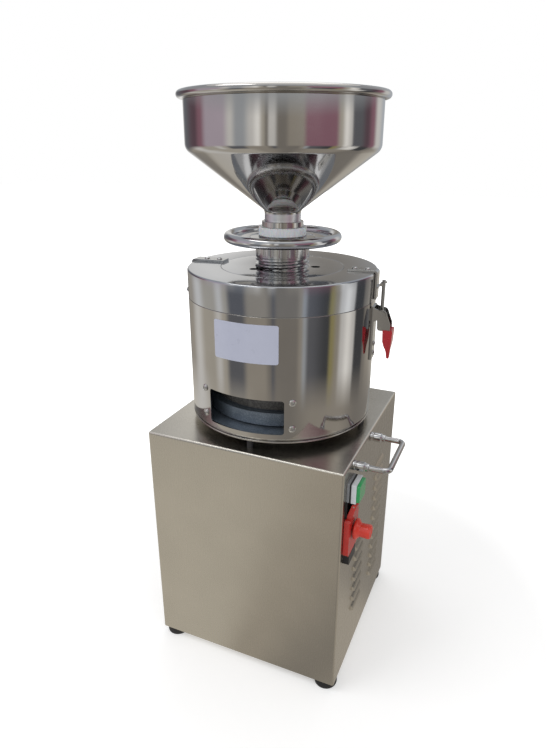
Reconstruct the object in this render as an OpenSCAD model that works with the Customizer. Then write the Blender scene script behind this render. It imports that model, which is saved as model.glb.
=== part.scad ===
// Nut butter grinder: a stainless cabinet with the motor inside, a drum with two grinding
// stones, a hinged and latched lid, a hand wheel that sets the gap of the stones, and a hopper.
// Millimetres. Origin on the floor under the grinding axis, +Z up, the outlet faces -Y.

/* [Cabinet] */
// Width of the cabinet, left to right
cab_w = 300; // [280:1:380]
// Depth of the cabinet, front to back
cab_d = 296; // [280:1:380]
// Height of the cabinet walls, without the feet
cab_h = 367; // [330:1:460]
// Thickness of the cabinet sheet
sheet_t = 1.5; // [1:0.1:2.5]
// Outer radius of the folded edges
fold_r = 3; // [2.6:0.1:6]
// Width of the rim that the rear panel screws onto
rear_rim = 22; // [16:1:40]
// Height of a rubber foot
foot_h = 13; // [8:1:30]
// Radius of a rubber foot at the floor
foot_r = 17.5; // [10:0.5:20]

/* [Louvres] */
// Length of one louvre
louvre_len = 45; // [30:1:60]
// Distance from one louvre to the next
louvre_pitch = 19; // [14:0.5:30]
// How far a louvre stands out of the wall
louvre_out = 4; // [3:0.5:7]
// Louvres in the rear column
louvre_rear_n = 12; // [4:1:14]
// Louvres in the front column
louvre_front_n = 7; // [2:1:8]

/* [Side handle] */
// Distance between the two legs
handle_span = 90; // [70:1:120]
// Distance of the bar's centre line from the wall
handle_out = 48; // [35:1:70]
// Radius of the handle's rod
handle_rod_r = 4; // [3:0.25:5]
// Radius of the ferrule at the wall
ferrule_r = 7; // [6:0.25:9]
// Length of the ferrule
ferrule_len = 22; // [12:1:30]

/* [Drum and lid] */
// Outer radius of the drum
drum_r = 136; // [128:1:164]
// Height of the drum below the lid
drum_h = 177; // [170:1:215]
// Wall of the drum and of the lid's skirt
drum_t = 2; // [1.5:0.1:3]
// Gap between the cabinet top and the drum
drum_gap = 13; // [10:1:25]
// Height of the lid
lid_h = 40; // [36:1:50]
// Radius of the lid's centre plate
lid_plate_r = 88; // [80:1:100]
// Width of the outlet
outlet_w = 112; // [80:1:120]
// Height of the outlet
outlet_h = 50; // [40:1:55]
// Width of the bare plate on the drum, along its curve
plate_w = 93; // [60:1:110]
// Height of the bare plate on the drum
plate_h = 52.5; // [30:0.5:60]

/* [Grinding gear] */
// Radius of the grinding stones
stone_r = 100; // [80:1:103]
// Height of one grinding stone
stone_h = 32.5; // [25:0.5:36]
// Gap between the stones as set in the rest position
stone_gap = 1.2; // [1.1:0.1:2]
// Radius of the disc that throws the butter out
slinger_r = 112; // [105:1:118]

/* [Adjuster and hopper] */
// Outer radius of the threaded sleeve
sleeve_r = 38.5; // [37:0.5:42]
// Outer radius of the hand wheel
wheel_r = 83.3; // [70:0.1:95]
// Radius of the hand wheel's rim tube
wheel_tube_r = 7; // [5:0.5:9]
// Outer radius of the hopper's straight wall
hopper_r = 131; // [110:1:160]
// Height of the hopper's straight wall
hopper_wall_h = 63; // [40:1:90]
// Height of the hopper's cone
hopper_cone_h = 86; // [60:1:120]
// Wall of the hopper
hopper_t = 1.5; // [1.2:0.1:2.5]
// Outer radius of the hopper's neck
neck_r = 25.6; // [22:0.1:26.5]

/* [Latch and hinge] */
// Turn of the latch and hinge line away from +X, in degrees
clasp_turn = 5; // [0:0.5:10]
// Width of the strap that the latch pulls on
keeper_w = 20; // [16:1:26]
// Width of the hinge strap
hinge_w = 21; // [18:1:30]

/* [Switch] */
// Width of the switch housing
switch_w = 32; // [28:1:40]
// Height of the start section
start_h = 29; // [26:1:36]
// Height of the stop section
stop_h = 100; // [90:1:120]
// Radius of the stop knob's flange
knob_flange_r = 14.8; // [13:0.2:18]
// Radius of the stop knob's grip
knob_grip_r = 10.2; // [9:0.2:11]
// Travel of the start button
start_travel = 2.5; // [1.5:0.1:3]
// Travel of the stop knob
stop_travel = 1.8; // [1:0.1:1.8]

/* [Hidden] */
$fn = 96;
fine_fn = 720;

eps = 0.01;
// Radial clearance of a running fit
run_fit = 0.05;

// Levels above the floor
cab_top = foot_h + cab_h;
drum_z0 = cab_top + drum_gap;
seam_z = drum_z0 + drum_h;
lid_top = seam_z + lid_h;
seam_gap = 0.3;

// Cabinet details
foot_inset = foot_r;
foot_top_r = foot_r - 2.5;
foot_recess_r = 7;
foot_recess_h = 4;
foot_screw_r = 3;
tray_t = 1.5;
tray_lip = 12;
rear_panel_t = 1.5;
rear_gap = 1.5;
rear_screw_inset = rear_rim / 2;
small_screw_r = 2;
small_head_r = 3.8;
small_head_h = 2.2;
vent_n = 9;
vent_len = 70;
vent_w = 4;
vent_pitch = 12;
gland_x = -90;
gland_z = foot_h + 45;
gland_r = 8;
gland_bore_r = 4.5;
spigot_r = 70;
spigot_fit = 0.2;

// Louvres: the outline of a hood is a segment of a circle
louvre_arc_r = 12;
louvre_t = 1.2;
louvre_taper = 2.5;
louvre_rear_y = 55.5;
louvre_front_y = -49.5;
louvre_rear_z = foot_h + 66;
louvre_front_z = foot_h + 80;

// Side handle
handle_y = -61;
handle_drop = 7;
handle_bend_r = 8;
handle_z = cab_top - handle_drop;
handle_stub = 5;

// Drum details
drum_floor_t = 2;
drum_edge_r = 4;
base_plate_t = 3;
base_groove = 0.7;
spacer_r = 4.5;
spacer_at_r = min(drum_r - 8, cab_d / 2 - 20);
spacer_turn = 3;
outlet_z0 = drum_z0 + 13;
outlet_corner_r = 4;
outlet_screw_turn = 29;
outlet_screw_z = [drum_z0 + 22.3, drum_z0 + 60.6];
chute_screw_r = 2.5;
chute_head_r = 5;
chute_head_h = 3;
plate_z0 = drum_z0 + 114.5;
plate_t = 0.8;
plate_turn = 1.5;
plate_corner_r = 3;
floor_z = drum_z0 + 11.5;
seal_r = 32;
seal_h = 6;
lid_seal_t = 2;
lid_seal_h = 8;
spigot_drop = 9;
spigot_lip_t = 2;
lid_t = 3;
lid_edge_r = 3;
plate_flange_r = lid_plate_r + 10;
plate_thick = 18;
plate_seam = 0.3;
guide_turns = [10, 124, 238];
guide_at_r = 48.5;
guide_hole_r = 6.5;
guide_sink = 6;

// Shaft and motor
shaft_r = 14;
journal_r = 12.5;
fan_seat_r = 9;
core_seat_r = 16;
flange_t = 14;
flange_r = 100;
motor_r = 84;
motor_wall = 8;
fin_n = 24;
fin_out = 5;
fin_t = 3;
bell_t = 15;
cowl_h = 36;
motor_len = 250;
bearing_r = 26;
bearing_h = 15;
bearing_fit = 0.02;
flange_top = cab_top - sheet_t;
motor_top = flange_top - flange_t;
motor_bottom = motor_top - motor_len;
core_h = 130;
core_z0 = motor_bottom + 55;
air_gap = 0.6;
rotor_r = 49.4;
fan_r = 62;
fan_h = 16;
fan_blades = 8;
shaft_bottom = motor_bottom - bell_t - cowl_h + 8;

// Grinding stack
slinger_z0 = drum_z0 + 14.5;
slinger_h = 19;
lower_stone_z0 = slinger_z0 + slinger_h;
lower_stone_top = lower_stone_z0 + stone_h;
upper_stone_z0 = lower_stone_top + stone_gap;
stone_bore_r = 28;
stone_eye_r = 30;
stone_recess_r = 36;
stone_recess_h = 12;
cone_flange_h = 6;
cone_h = 18;
cone_tip_r = 8;
scraper_w = 14;
scraper_t = 5;
scraper_gap = 1;
carrier_z0 = upper_stone_z0 + stone_h;
carrier_t = 12;
carrier_r = stone_r + 2;
carrier_hub_h = 38;
hub_wall = 3;
shoulder_h = 5;
boss_r = 8.5;
boss_over = 11;
sleeve_z0 = carrier_z0 + carrier_t + shoulder_h;
groove_r = sleeve_r - 3.5;
groove_h = 5;
groove_z0 = carrier_z0 + carrier_t + carrier_hub_h;
axial_play = 0.1;
pin_depth = 22;

// Adjuster above the lid
sleeve_show = 15;
collar_h = 15;
wheel_hub_h = 14;
collar_z0 = lid_top + sleeve_show;
wheel_hub_z0 = collar_z0 + collar_h;
sleeve_top = wheel_hub_z0 + wheel_hub_h;
sleeve_top_r = sleeve_r - 4.5;
feed_r = 27;
socket_r = neck_r + 5.4;
socket_h = 32;
wheel_z = wheel_hub_z0 + 11.5;
wheel_hub_r = 46;
wheel_web_t = 4;
flute_n = 20;
flute_r = 2.6;
nut_flange_r = 33.7;
nut_flange_h = 11;
nut_knurl_n = 40;
nut_knurl_r = 1.1;
nut_spigot_h = 30;
neck_drop = 35;
neck_show = 22;
bead_r = neck_r + 3.8;
bead_h = 8;
nut_top = sleeve_top + nut_flange_h;
cone_z0 = nut_top + neck_show;
wall_z0 = cone_z0 + hopper_cone_h;
hopper_top = wall_z0 + hopper_wall_h;
hopper_rim_r = 4.8;
hopper_rim_out = 3.6;
hopper_bend_r = 14;
bend_steps = 12;

// Hinge, in a frame that has +X outwards at the hinge
strap_t = 3;
hinge_x = drum_r + 9;
hinge_z = seam_z - 4;
hinge_pin_r = 2.5;
knuckle_r = 4.5;
hinge_mid_w = hinge_w / 3;
knuckle_gap = 0.25;
hinge_strap_in = drum_r - 48;
hinge_leaf_t = 2.5;
hinge_leaf_drop = 36;

// Toggle latch, in a frame that has +X outwards at the latch
keeper_in = drum_r - 39;
lip_top = lid_top - 19;
lip_t = 2.4;
keeper_low = seam_z + 3;
lip_out = drum_r + strap_t + 2.2;
latch_z = lid_top - 58;
latch_x = drum_r + 12.5;
hook_z = lid_top - 77;
hook_x = drum_r + 11;
latch_base_t = 2.3;
latch_base_w = 24;
latch_base_z = [lid_top - 125, lid_top - 47];
ear_t = 1.6;
ear_in = 10.4;
ear_round = 5.5;
cheek_t = 1.6;
cheek_in = 8.6;
latch_pin_r = 2;
hook_pin_r = 2.2;
hook_eye_r = 4.5;
hook_eye_w = 16.4;
rod_r = 2.5;
rod_top = lip_top + 8;
finger_h = 4;
finger_gap = 0.15;
finger_x = lip_out + 1.2;
hook_nut_h = 5;
hook_nut_r = 4.8;
hook_nut_z = hook_z + 8.5;
tongue_z = [lid_top - 100, lid_top - 81];
tongue_t = 4;
grip_top = lid_top - 79.5;
grip_tip = lid_top - 123.4;

// Switch, on the right wall
wall_x = cab_w / 2;
switch_y = 31 - cab_d / 2;
switch_z = cab_top - 51;
switch_plate_t = 3.8;
gasket_t = 2.2;
housing_t = 7;
start_proud = 4.5;
start_margin = 2;
start_slip = 0.2;
base_plate_out = 2;
base_slip = 0.4;
chin_h = 17;
chin_out = 8.4;
base_back = 30;
switch_hole_margin = 1.5;
hinge_at = [wall_x + 11, switch_z - 4];
flap_pin_r = 1.2;
flap_knuckle_r = 3.4;
flap_lug_w = 10;
flap_lug_gap = 0.3;
flap_w = 44;
flap_out = 8.3;
flap_t = 2;
flap_back = 0.5;
flap_drop = 25;
flap_bottom = switch_z - stop_h + chin_h;
flap_corner_r = 5;
knob_z = switch_z - 48;
knob_gap = stop_travel + 0.3;
knob_flange_h = 6;
knob_out = 33;
knob_stem_r = 5;
knob_clip_r = 7;
knob_clip_h = 1.4;
stop_button_r = 8;
stop_button_out = 1.4;
touch_gap = 0.1;

// ---------------------------------------------------------------- shared shapes

// A rectangle with round corners, centred
module round_rect(size, r) {
    square([size[0] - 2 * r, size[1]], center = true);
    square([size[0], size[1] - 2 * r], center = true);
    for (x = [-1, 1], y = [-1, 1])
        translate([x * (size[0] / 2 - r), y * (size[1] / 2 - r)]) circle(r);
}

// An upright tube standing on z = 0
module tube(r_out, r_in, h) {
    difference() {
        cylinder(r = r_out, h = h);
        translate([0, 0, -1]) cylinder(r = r_in, h = h + 2);
    }
}

// Children turned so that their +X points outwards at an angle counted from the front
module from_front(turn) {
    rotate([0, 0, turn - 90]) children();
}

// The drum's full outline, to shape the backs of the fittings that lie on it
module drum_form() {
    cylinder(r = drum_r, h = 2 * lid_top, $fn = fine_fn);
}

module at_latch() {
    rotate([0, 0, clasp_turn]) children();
}

module at_hinge() {
    rotate([0, 0, clasp_turn + 180]) children();
}

// An outline drawn in X and Z, thickened along Y about y = 0
module profile_xz(width) {
    rotate([90, 0, 0]) linear_extrude(height = width, center = true) children();
}

// A rod along Y about y = 0
module rod_y(r, width) {
    rotate([90, 0, 0]) cylinder(r = r, h = width, center = true);
}

// A rod along X from x = 0
module rod_x(r, length) {
    rotate([0, 90, 0]) cylinder(r = r, h = length);
}

// A pan head and its shank, along +X from the seat at x = 0
module pan_screw_x(shank_r, head_r, head_h, shank) {
    rotate([0, 90, 0]) rotate_extrude() {
        intersection() {
            translate([0, head_h - 1.6 * head_r]) circle(1.6 * head_r);
            square([head_r, head_h]);
        }
        translate([0, -shank]) square([shank_r, shank + eps]);
    }
}

// Half the height of a box whose top edges are folded with radius r
module folded_side(width, height, r) {
    translate([-width / 2, 0]) square([width, height - r]);
    translate([-width / 2 + r, 0]) square([width - 2 * r, height]);
    for (s = [-1, 1])
        translate([s * (width / 2 - r), height - r]) circle(r);
}

// A box standing on z = 0 with its upright and top edges folded
module folded_box(w, d, h, r) {
    intersection() {
        linear_extrude(height = h) round_rect([w, d], r);
        profile_xz(d) folded_side(w, h, r);
        rotate([0, 0, 90]) profile_xz(w) folded_side(d, h, r);
    }
}

// ---------------------------------------------------------------- cabinet

// Solid hood of a louvre: inset 0 is its outside, and a larger inset its inside
module louvre_form(inset, back) {
    half = louvre_len / 2 - inset;
    out = louvre_out - inset;
    intersection() {
        profile_xz(louvre_len) intersection() {
            translate([louvre_out - louvre_arc_r, 0]) circle(louvre_arc_r - inset);
            translate([-back, -min(inset, 0.5)]) square([back + louvre_out, louvre_arc_r]);
        }
        translate([0, 0, -1]) linear_extrude(height = louvre_arc_r + 2)
            polygon([[-back, -half], [0, -half], [out, -half + louvre_taper],
                     [out, half - louvre_taper], [0, half], [-back, half]]);
    }
}

// Where the louvres sit on a side wall
module each_louvre() {
    for (i = [0 : louvre_rear_n - 1])
        translate([wall_x, louvre_rear_y, louvre_rear_z + i * louvre_pitch]) children();
    for (i = [0 : louvre_front_n - 1])
        translate([wall_x, louvre_front_y, louvre_front_z + i * louvre_pitch]) children();
}

module both_sides() {
    children();
    mirror([1, 0, 0]) children();
}

module cabinet_shell() {
    window_w = cab_w - 2 * rear_rim;
    window_h = cab_h - 2 * rear_rim;
    color("#a8a296") difference() {
        union() {
            translate([0, 0, foot_h]) folded_box(cab_w, cab_d, cab_h, fold_r);
            both_sides() each_louvre() louvre_form(0, eps);
        }
        translate([0, 0, foot_h - 1])
            folded_box(cab_w - 2 * sheet_t, cab_d - 2 * sheet_t, cab_h + 1 - sheet_t, fold_r - sheet_t);
        both_sides() each_louvre() louvre_form(louvre_t, sheet_t + 1);
        translate([0, cab_d / 2, foot_h + rear_rim + window_h / 2])
            cube([window_w, 4 * sheet_t, window_h], center = true);
        each_rear_screw() rotate([0, 0, 90]) translate([-3 * sheet_t, 0, 0])
            rod_x(small_screw_r, 4 * sheet_t);
        translate([0, 0, cab_top - 2 * sheet_t])
            cylinder(r = spigot_r + spigot_fit, h = 3 * sheet_t);
        each_handle_leg() translate([-2 * sheet_t, 0, 0]) rod_x(handle_rod_r, 4 * sheet_t);
        switch_cutout();
    }
}

module each_rear_screw() {
    x = cab_w / 2 - rear_screw_inset;
    z0 = foot_h + rear_screw_inset;
    z1 = cab_top - rear_screw_inset;
    for (sx = [-1, 1], z = [z0, (z0 + z1) / 2, z1])
        translate([sx * x, cab_d / 2, z]) children();
}

module rear_panel() {
    margin = 4;
    vent_z0 = foot_h + cab_h / 2;
    color("#a8a296") difference() {
        translate([0, cab_d / 2 + rear_panel_t / 2, foot_h + cab_h / 2])
            rotate([90, 0, 0]) linear_extrude(height = rear_panel_t, center = true)
                round_rect([cab_w - 2 * margin, cab_h - 2 * margin], 4);
        each_rear_screw() rotate([0, 0, 90]) translate([-1, 0, 0]) rod_x(small_screw_r, 4);
        for (i = [0 : vent_n - 1], sx = [-1, 1])
            translate([sx * vent_len * 0.7, cab_d / 2, vent_z0 + i * vent_pitch])
                rotate([90, 0, 0]) linear_extrude(height = 8, center = true)
                    round_rect([vent_len, vent_w], vent_w / 2 - eps);
        translate([gland_x, cab_d / 2 - 4, gland_z]) rotate([-90, 0, 0])
            cylinder(r = gland_r, h = 8);
    }
}

module rear_screws() {
    color("#8d8f92") each_rear_screw() rotate([0, 0, 90]) translate([rear_panel_t, 0, 0])
        pan_screw_x(small_screw_r, small_head_r, small_head_h, rear_panel_t + sheet_t);
}

module base_tray() {
    w = cab_w - 2 * sheet_t;
    d = cab_d - 2 * sheet_t;
    color("#a8a296") translate([0, 0, foot_h]) difference() {
        linear_extrude(height = tray_lip) round_rect([w, d], fold_r - sheet_t);
        translate([0, 0, tray_t]) linear_extrude(height = tray_lip)
            round_rect([w - 2 * tray_t, d - 2 * tray_t], 1);
        for (i = [-3 : 3], s = [-1, 1])
            translate([s * 60, i * vent_pitch * 1.5, -1]) linear_extrude(height = 4)
                round_rect([vent_len, vent_w], vent_w / 2 - eps);
        each_foot() translate([0, 0, -1]) cylinder(r = foot_screw_r, h = 4);
    }
}

module each_foot() {
    for (sx = [-1, 1], sy = [-1, 1])
        translate([sx * (cab_w / 2 - foot_inset), sy * (cab_d / 2 - foot_inset), 0]) children();
}

// Rubber foot with its screw in a recess from below
module feet() {
    color("#1c1c1e") each_foot() {
        difference() {
            rotate_extrude() difference() {
                polygon([[0, 0], [foot_r - 1, 0], [foot_r, 1], [foot_r, 3],
                         [foot_top_r, foot_h], [0, foot_h]]);
                translate([-eps, -eps]) square([foot_recess_r, foot_recess_h]);
            }
            translate([0, 0, -1]) cylinder(r = foot_screw_r, h = foot_h + 2);
        }
    }
}

module cable_gland() {
    y0 = cab_d / 2 + rear_panel_t;
    color("#222326") translate([gland_x, y0, gland_z]) rotate([-90, 0, 0]) difference() {
        union() {
            cylinder(r = gland_r + 4, h = 6, $fn = 6);
            translate([0, 0, 6]) cylinder(r = gland_r + 2.5, h = 10);
            translate([0, 0, 16]) cylinder(r1 = gland_r + 2.5, r2 = gland_r - 1, h = 5);
            translate([0, 0, -rear_panel_t - 8]) cylinder(r = gland_r, h = rear_panel_t + 8);
        }
        translate([0, 0, -20]) cylinder(r = gland_bore_r, h = 60);
    }
}

// ---------------------------------------------------------------- side handle

module each_handle_leg() {
    for (s = [-1, 1])
        translate([wall_x, handle_y + s * handle_span / 2, handle_z]) children();
}

module side_handle() {
    leg = handle_out - handle_bend_r + handle_stub;
    bar = handle_span - 2 * handle_bend_r;
    color("#c9ccd0") {
        each_handle_leg() translate([-handle_stub, 0, 0]) rod_x(handle_rod_r, leg);
        for (s = [-1, 1])
            translate([wall_x + handle_out - handle_bend_r,
                       handle_y + s * (handle_span / 2 - handle_bend_r), handle_z])
                rotate([0, 0, s > 0 ? 0 : -90]) rotate_extrude(angle = 90)
                    translate([handle_bend_r, 0]) circle(handle_rod_r);
        translate([wall_x + handle_out, handle_y, handle_z]) rod_y(handle_rod_r, bar);
    }
}

module handle_ferrules() {
    color("#b9bcc0") each_handle_leg() rotate([0, 90, 0]) rotate_extrude()
        polygon([[handle_rod_r, 0], [ferrule_r, 0], [ferrule_r, ferrule_len - 6],
                 [ferrule_r - 1.5, ferrule_len], [handle_rod_r, ferrule_len]]);
}

// ---------------------------------------------------------------- switch

// Children at the middle of the switch's width, on the wall
module on_wall(z) {
    translate([wall_x, switch_y, z]) children();
}

// A plate on the wall, from a stand-off to another and between two heights
module wall_plate(out0, out1, z0, z1, width, r) {
    translate([wall_x + out0, switch_y, (z0 + z1) / 2]) rotate([0, 90, 0])
        linear_extrude(height = out1 - out0) round_rect([z1 - z0, width], r);
}

module switch_cutout() {
    wall_plate(-3 * sheet_t, 1, switch_z - stop_h + chin_h + 4, switch_z + start_h - 5,
               switch_w - 2 * switch_hole_margin, 2);
}

module switch_base() {
    z0 = switch_z - stop_h;
    lug_x = hinge_at[0] - wall_x;
    color("#1d1e20") difference() {
        union() {
            wall_plate(0, base_plate_out, z0, switch_z, switch_w, 2);
            wall_plate(0, chin_out, z0, z0 + chin_h - 1, switch_w, 2);
            wall_plate(-base_back, 0, z0 + chin_h + 6, switch_z + start_h - 7,
                       switch_w - 4 * switch_hole_margin, 2);
            on_wall(hinge_at[1]) translate([lug_x, 0, 0])
                rod_y(flap_knuckle_r - 0.4, flap_lug_w);
            on_wall(hinge_at[1]) translate([lug_x / 2, 0, 0])
                cube([lug_x, flap_lug_w, 2 * flap_knuckle_r - 0.8], center = true);
        }
        on_wall(hinge_at[1]) translate([lug_x, 0, 0]) rod_y(flap_pin_r, switch_w + 2);
        on_wall(knob_z) translate([-4, 0, 0])
            rod_x(stop_button_r + start_slip, 4 + base_plate_out + 1);
    }
}

module switch_plate() {
    color("#8c8d90") difference() {
        wall_plate(0, switch_plate_t, switch_z, switch_z + start_h, switch_w, 2);
        start_pocket(start_slip);
    }
}

module switch_gasket() {
    color("#18191b") difference() {
        wall_plate(switch_plate_t, switch_plate_t + gasket_t, switch_z, switch_z + start_h,
                   switch_w - 0.8, 2);
        start_pocket(start_slip);
    }
}

module switch_housing() {
    out0 = switch_plate_t + gasket_t;
    color("#c5c8cc") difference() {
        wall_plate(out0, out0 + housing_t, switch_z, switch_z + start_h, switch_w, 2);
        start_pocket(start_slip);
    }
}

// The start button's block, or with a margin the pocket that it slides in
module start_pocket(margin) {
    face = switch_plate_t + gasket_t + housing_t;
    wall_plate(margin > 0 ? -eps : face - 8, margin > 0 ? face + 1 : face + start_proud,
               switch_z + start_margin - margin, switch_z + start_h - start_margin + margin,
               switch_w - 2 * start_margin + 2 * margin, 1.5);
}

module start_button() {
    color("#2f8f4a") start_pocket(0);
}

module stop_button() {
    color("#7e1b1c") on_wall(knob_z) translate([-2, 0, 0])
        rod_x(stop_button_r, 2 + base_plate_out + stop_button_out);
}

// The flap's side outline: it hangs on its knuckle and steps in towards the wall
module flap_outline(inset) {
    x0 = wall_x + flap_back;
    x1 = wall_x + flap_out - inset;
    polygon([[hinge_at[0] - flap_knuckle_r, hinge_at[1]],
             [x0, switch_z - flap_drop - 2],
             [x0, flap_bottom - inset],
             [x1, flap_bottom - inset],
             [x1, switch_z - flap_drop - inset / 2],
             [hinge_at[0] + flap_knuckle_r - inset, hinge_at[1]]]);
}

module stop_flap() {
    slot_w = flap_lug_w + 2 * flap_lug_gap;
    slot_low = hinge_at[1] - flap_knuckle_r - 1.2;
    low_top = switch_z - flap_drop;
    color("#b3282a") difference() {
        union() {
            translate([0, switch_y, 0]) intersection() {
                profile_xz(flap_w) flap_outline(0);
                union() {
                    translate([wall_x, -switch_w / 2, low_top - 8])
                        cube([30, switch_w, 2 * flap_drop]);
                    translate([wall_x, 0, (flap_bottom + low_top) / 2]) rotate([0, 90, 0])
                        linear_extrude(height = 30)
                            round_rect([low_top - flap_bottom, flap_w], flap_corner_r);
                }
            }
            on_wall(hinge_at[1]) translate([hinge_at[0] - wall_x, 0, 0])
                rod_y(flap_knuckle_r, switch_w);
        }
        translate([wall_x, switch_y - slot_w / 2, slot_low]) cube([30, slot_w, flap_drop]);
        translate([0, switch_y, 0]) intersection() {
            profile_xz(flap_w - 2 * flap_t) flap_outline(flap_t);
            translate([wall_x, 0, flap_bottom - 1 + (low_top - flap_bottom) / 2])
                rotate([0, 90, 0]) linear_extrude(height = 30)
                    round_rect([low_top - flap_bottom - 2 * flap_t + 2, flap_w - 2 * flap_t],
                               flap_corner_r - flap_t);
        }
        on_wall(hinge_at[1]) translate([hinge_at[0] - wall_x, 0, 0])
            rod_y(flap_pin_r + run_fit, switch_w);
        on_wall(knob_z) rod_x(knob_stem_r + run_fit, 30);
        wall_plate(-1, base_plate_out + base_slip, switch_z - stop_h, switch_z,
                   switch_w + 2 * base_slip, 1);
    }
}

module stop_knob() {
    back = flap_out + knob_gap;
    stem0 = base_plate_out + stop_button_out + touch_gap;
    color("#c8302c") on_wall(knob_z) rotate([0, 90, 0]) rotate_extrude()
        polygon([[0, stem0], [knob_clip_r, stem0], [knob_clip_r, stem0 + knob_clip_h],
                 [knob_stem_r, stem0 + knob_clip_h], [knob_stem_r, back],
                 [knob_flange_r - 2, back], [knob_flange_r, back + 1.5],
                 [knob_flange_r, back + 3.5], [knob_flange_r - 1.5, back + knob_flange_h - 0.5],
                 [knob_grip_r + 1, back + knob_flange_h], [knob_grip_r - 0.5, back + knob_flange_h + 3],
                 [knob_grip_r, knob_out - 3], [knob_grip_r - 2.5, knob_out],
                 [0, knob_out + 0.6]]);
}

module flap_pin() {
    color("#9a9da1") on_wall(hinge_at[1]) translate([hinge_at[0] - wall_x, 0, 0])
        rod_y(flap_pin_r, switch_w);
}

// ---------------------------------------------------------------- motor

module motor_flange() {
    color("#2b2d30") difference() {
        union() {
            translate([0, 0, motor_top]) cylinder(r = flange_r, h = flange_t);
            translate([0, 0, flange_top - eps]) cylinder(r = spigot_r, h = sheet_t + drum_gap + eps);
        }
        translate([0, 0, motor_top - 1]) cylinder(r = bearing_r, h = bearing_h + 1);
        translate([0, 0, motor_top]) cylinder(r = shaft_r + 1, h = 60);
    }
}

module motor_housing() {
    color("#5c6266") translate([0, 0, motor_bottom]) {
        tube(motor_r, motor_r - motor_wall, motor_len);
        for (i = [0 : fin_n - 1]) rotate([0, 0, i * 360 / fin_n])
            translate([motor_r + fin_out / 2 - 0.5, 0, motor_len / 2])
                cube([fin_out + 1, fin_t, motor_len - 30], center = true);
    }
}

module motor_end_bell() {
    color("#4a4f53") translate([0, 0, motor_bottom - bell_t]) difference() {
        union() {
            cylinder(r = motor_r, h = bell_t);
            translate([0, 0, bell_t - eps]) cylinder(r = motor_r - motor_wall, h = 6);
        }
        translate([0, 0, bell_t + 6 - bearing_h]) cylinder(r = bearing_r, h = bearing_h + 1);
        translate([0, 0, -1]) cylinder(r = journal_r + 1, h = bell_t + 8);
    }
}

module fan_cowl() {
    slots = 12;
    color("#3b3f43") translate([0, 0, motor_bottom - bell_t - cowl_h]) difference() {
        cylinder(r = motor_r, h = cowl_h);
        translate([0, 0, 2]) cylinder(r = motor_r - 2, h = cowl_h);
        for (i = [0 : slots - 1]) rotate([0, 0, i * 360 / slots]) translate([45, 0, -1])
            linear_extrude(height = 6) round_rect([40, 7], 3.4);
    }
}

module stator_core() {
    coil_h = 22;
    color("#b46a32") translate([0, 0, core_z0]) {
        tube(motor_r - motor_wall, rotor_r + air_gap, core_h);
        for (z = [-coil_h, core_h]) translate([0, 0, z])
            tube(motor_r - motor_wall - 4, rotor_r + air_gap + 4, coil_h);
    }
}

module motor_bearings() {
    color("#9da1a6") {
        translate([0, 0, motor_top]) tube(bearing_r, journal_r + bearing_fit, bearing_h - 0.5);
        translate([0, 0, motor_bottom + 6 - bearing_h])
            tube(bearing_r, journal_r + bearing_fit, bearing_h - 0.5);
    }
}

// ---------------------------------------------------------------- rotor

module rotor_shaft() {
    journal_low = motor_bottom + 6 - bearing_h;
    journal_top = motor_top + bearing_h;
    stone_top = lower_stone_top - stone_recess_h + cone_flange_h;
    color("#8f9397") rotate_extrude()
        polygon([[0, shaft_bottom], [fan_seat_r, shaft_bottom], [fan_seat_r, journal_low],
                 [journal_r, journal_low], [journal_r, journal_low + bearing_h],
                 [core_seat_r, journal_low + bearing_h + 2], [core_seat_r, motor_top - 4],
                 [journal_r, motor_top - 2], [journal_r, journal_top],
                 [shaft_r, journal_top + 1], [shaft_r, slinger_z0 + slinger_h],
                 [journal_r, slinger_z0 + slinger_h], [journal_r, stone_top], [0, stone_top]]);
}

module rotor_core() {
    color("#70757a") translate([0, 0, core_z0]) tube(rotor_r, core_seat_r, core_h);
}

module cooling_fan() {
    z0 = shaft_bottom + 1;
    color("#26282b") translate([0, 0, z0]) {
        tube(fan_seat_r + 8, fan_seat_r, fan_h);
        for (i = [0 : fan_blades - 1]) rotate([0, 0, i * 360 / fan_blades])
            translate([(fan_seat_r + 7 + fan_r) / 2, 0, fan_h / 2]) rotate([0, 0, 12])
                cube([fan_r - fan_seat_r - 7, 2, fan_h], center = true);
    }
}

// Disc that carries the lower stone, with two scrapers that sweep the butter to the outlet
module slinger_disc() {
    scraper_h = slinger_h - 4;
    reach = drum_r - drum_t - 3;
    color("#7f8c99") difference() {
        union() {
            translate([0, 0, slinger_z0]) cylinder(r = slinger_r, h = slinger_h);
            translate([0, 0, lower_stone_z0 - eps])
                cylinder(r = stone_bore_r - 0.2, h = stone_h - stone_recess_h);
            for (a = [10, 190]) rotate([0, 0, a])
                translate([slinger_r - 6, -scraper_t / 2, floor_z + scraper_gap])
                    cube([reach - slinger_r + 6, scraper_t, scraper_h]);
        }
        translate([0, 0, slinger_z0 - 1]) cylinder(r = seal_r + 2, h = 5);
        translate([0, 0, slinger_z0 - 1]) cylinder(r = shaft_r, h = slinger_h + 1);
        translate([0, 0, slinger_z0]) cylinder(r = journal_r, h = slinger_h + stone_h);
    }
}

module lower_stone() {
    color("#6e6a64") translate([0, 0, lower_stone_z0]) difference() {
        cylinder(r = stone_r, h = stone_h);
        translate([0, 0, -1]) cylinder(r = stone_bore_r, h = stone_h + 2);
        translate([0, 0, stone_h - stone_recess_h]) cylinder(r = stone_recess_r, h = stone_h);
    }
}

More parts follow.
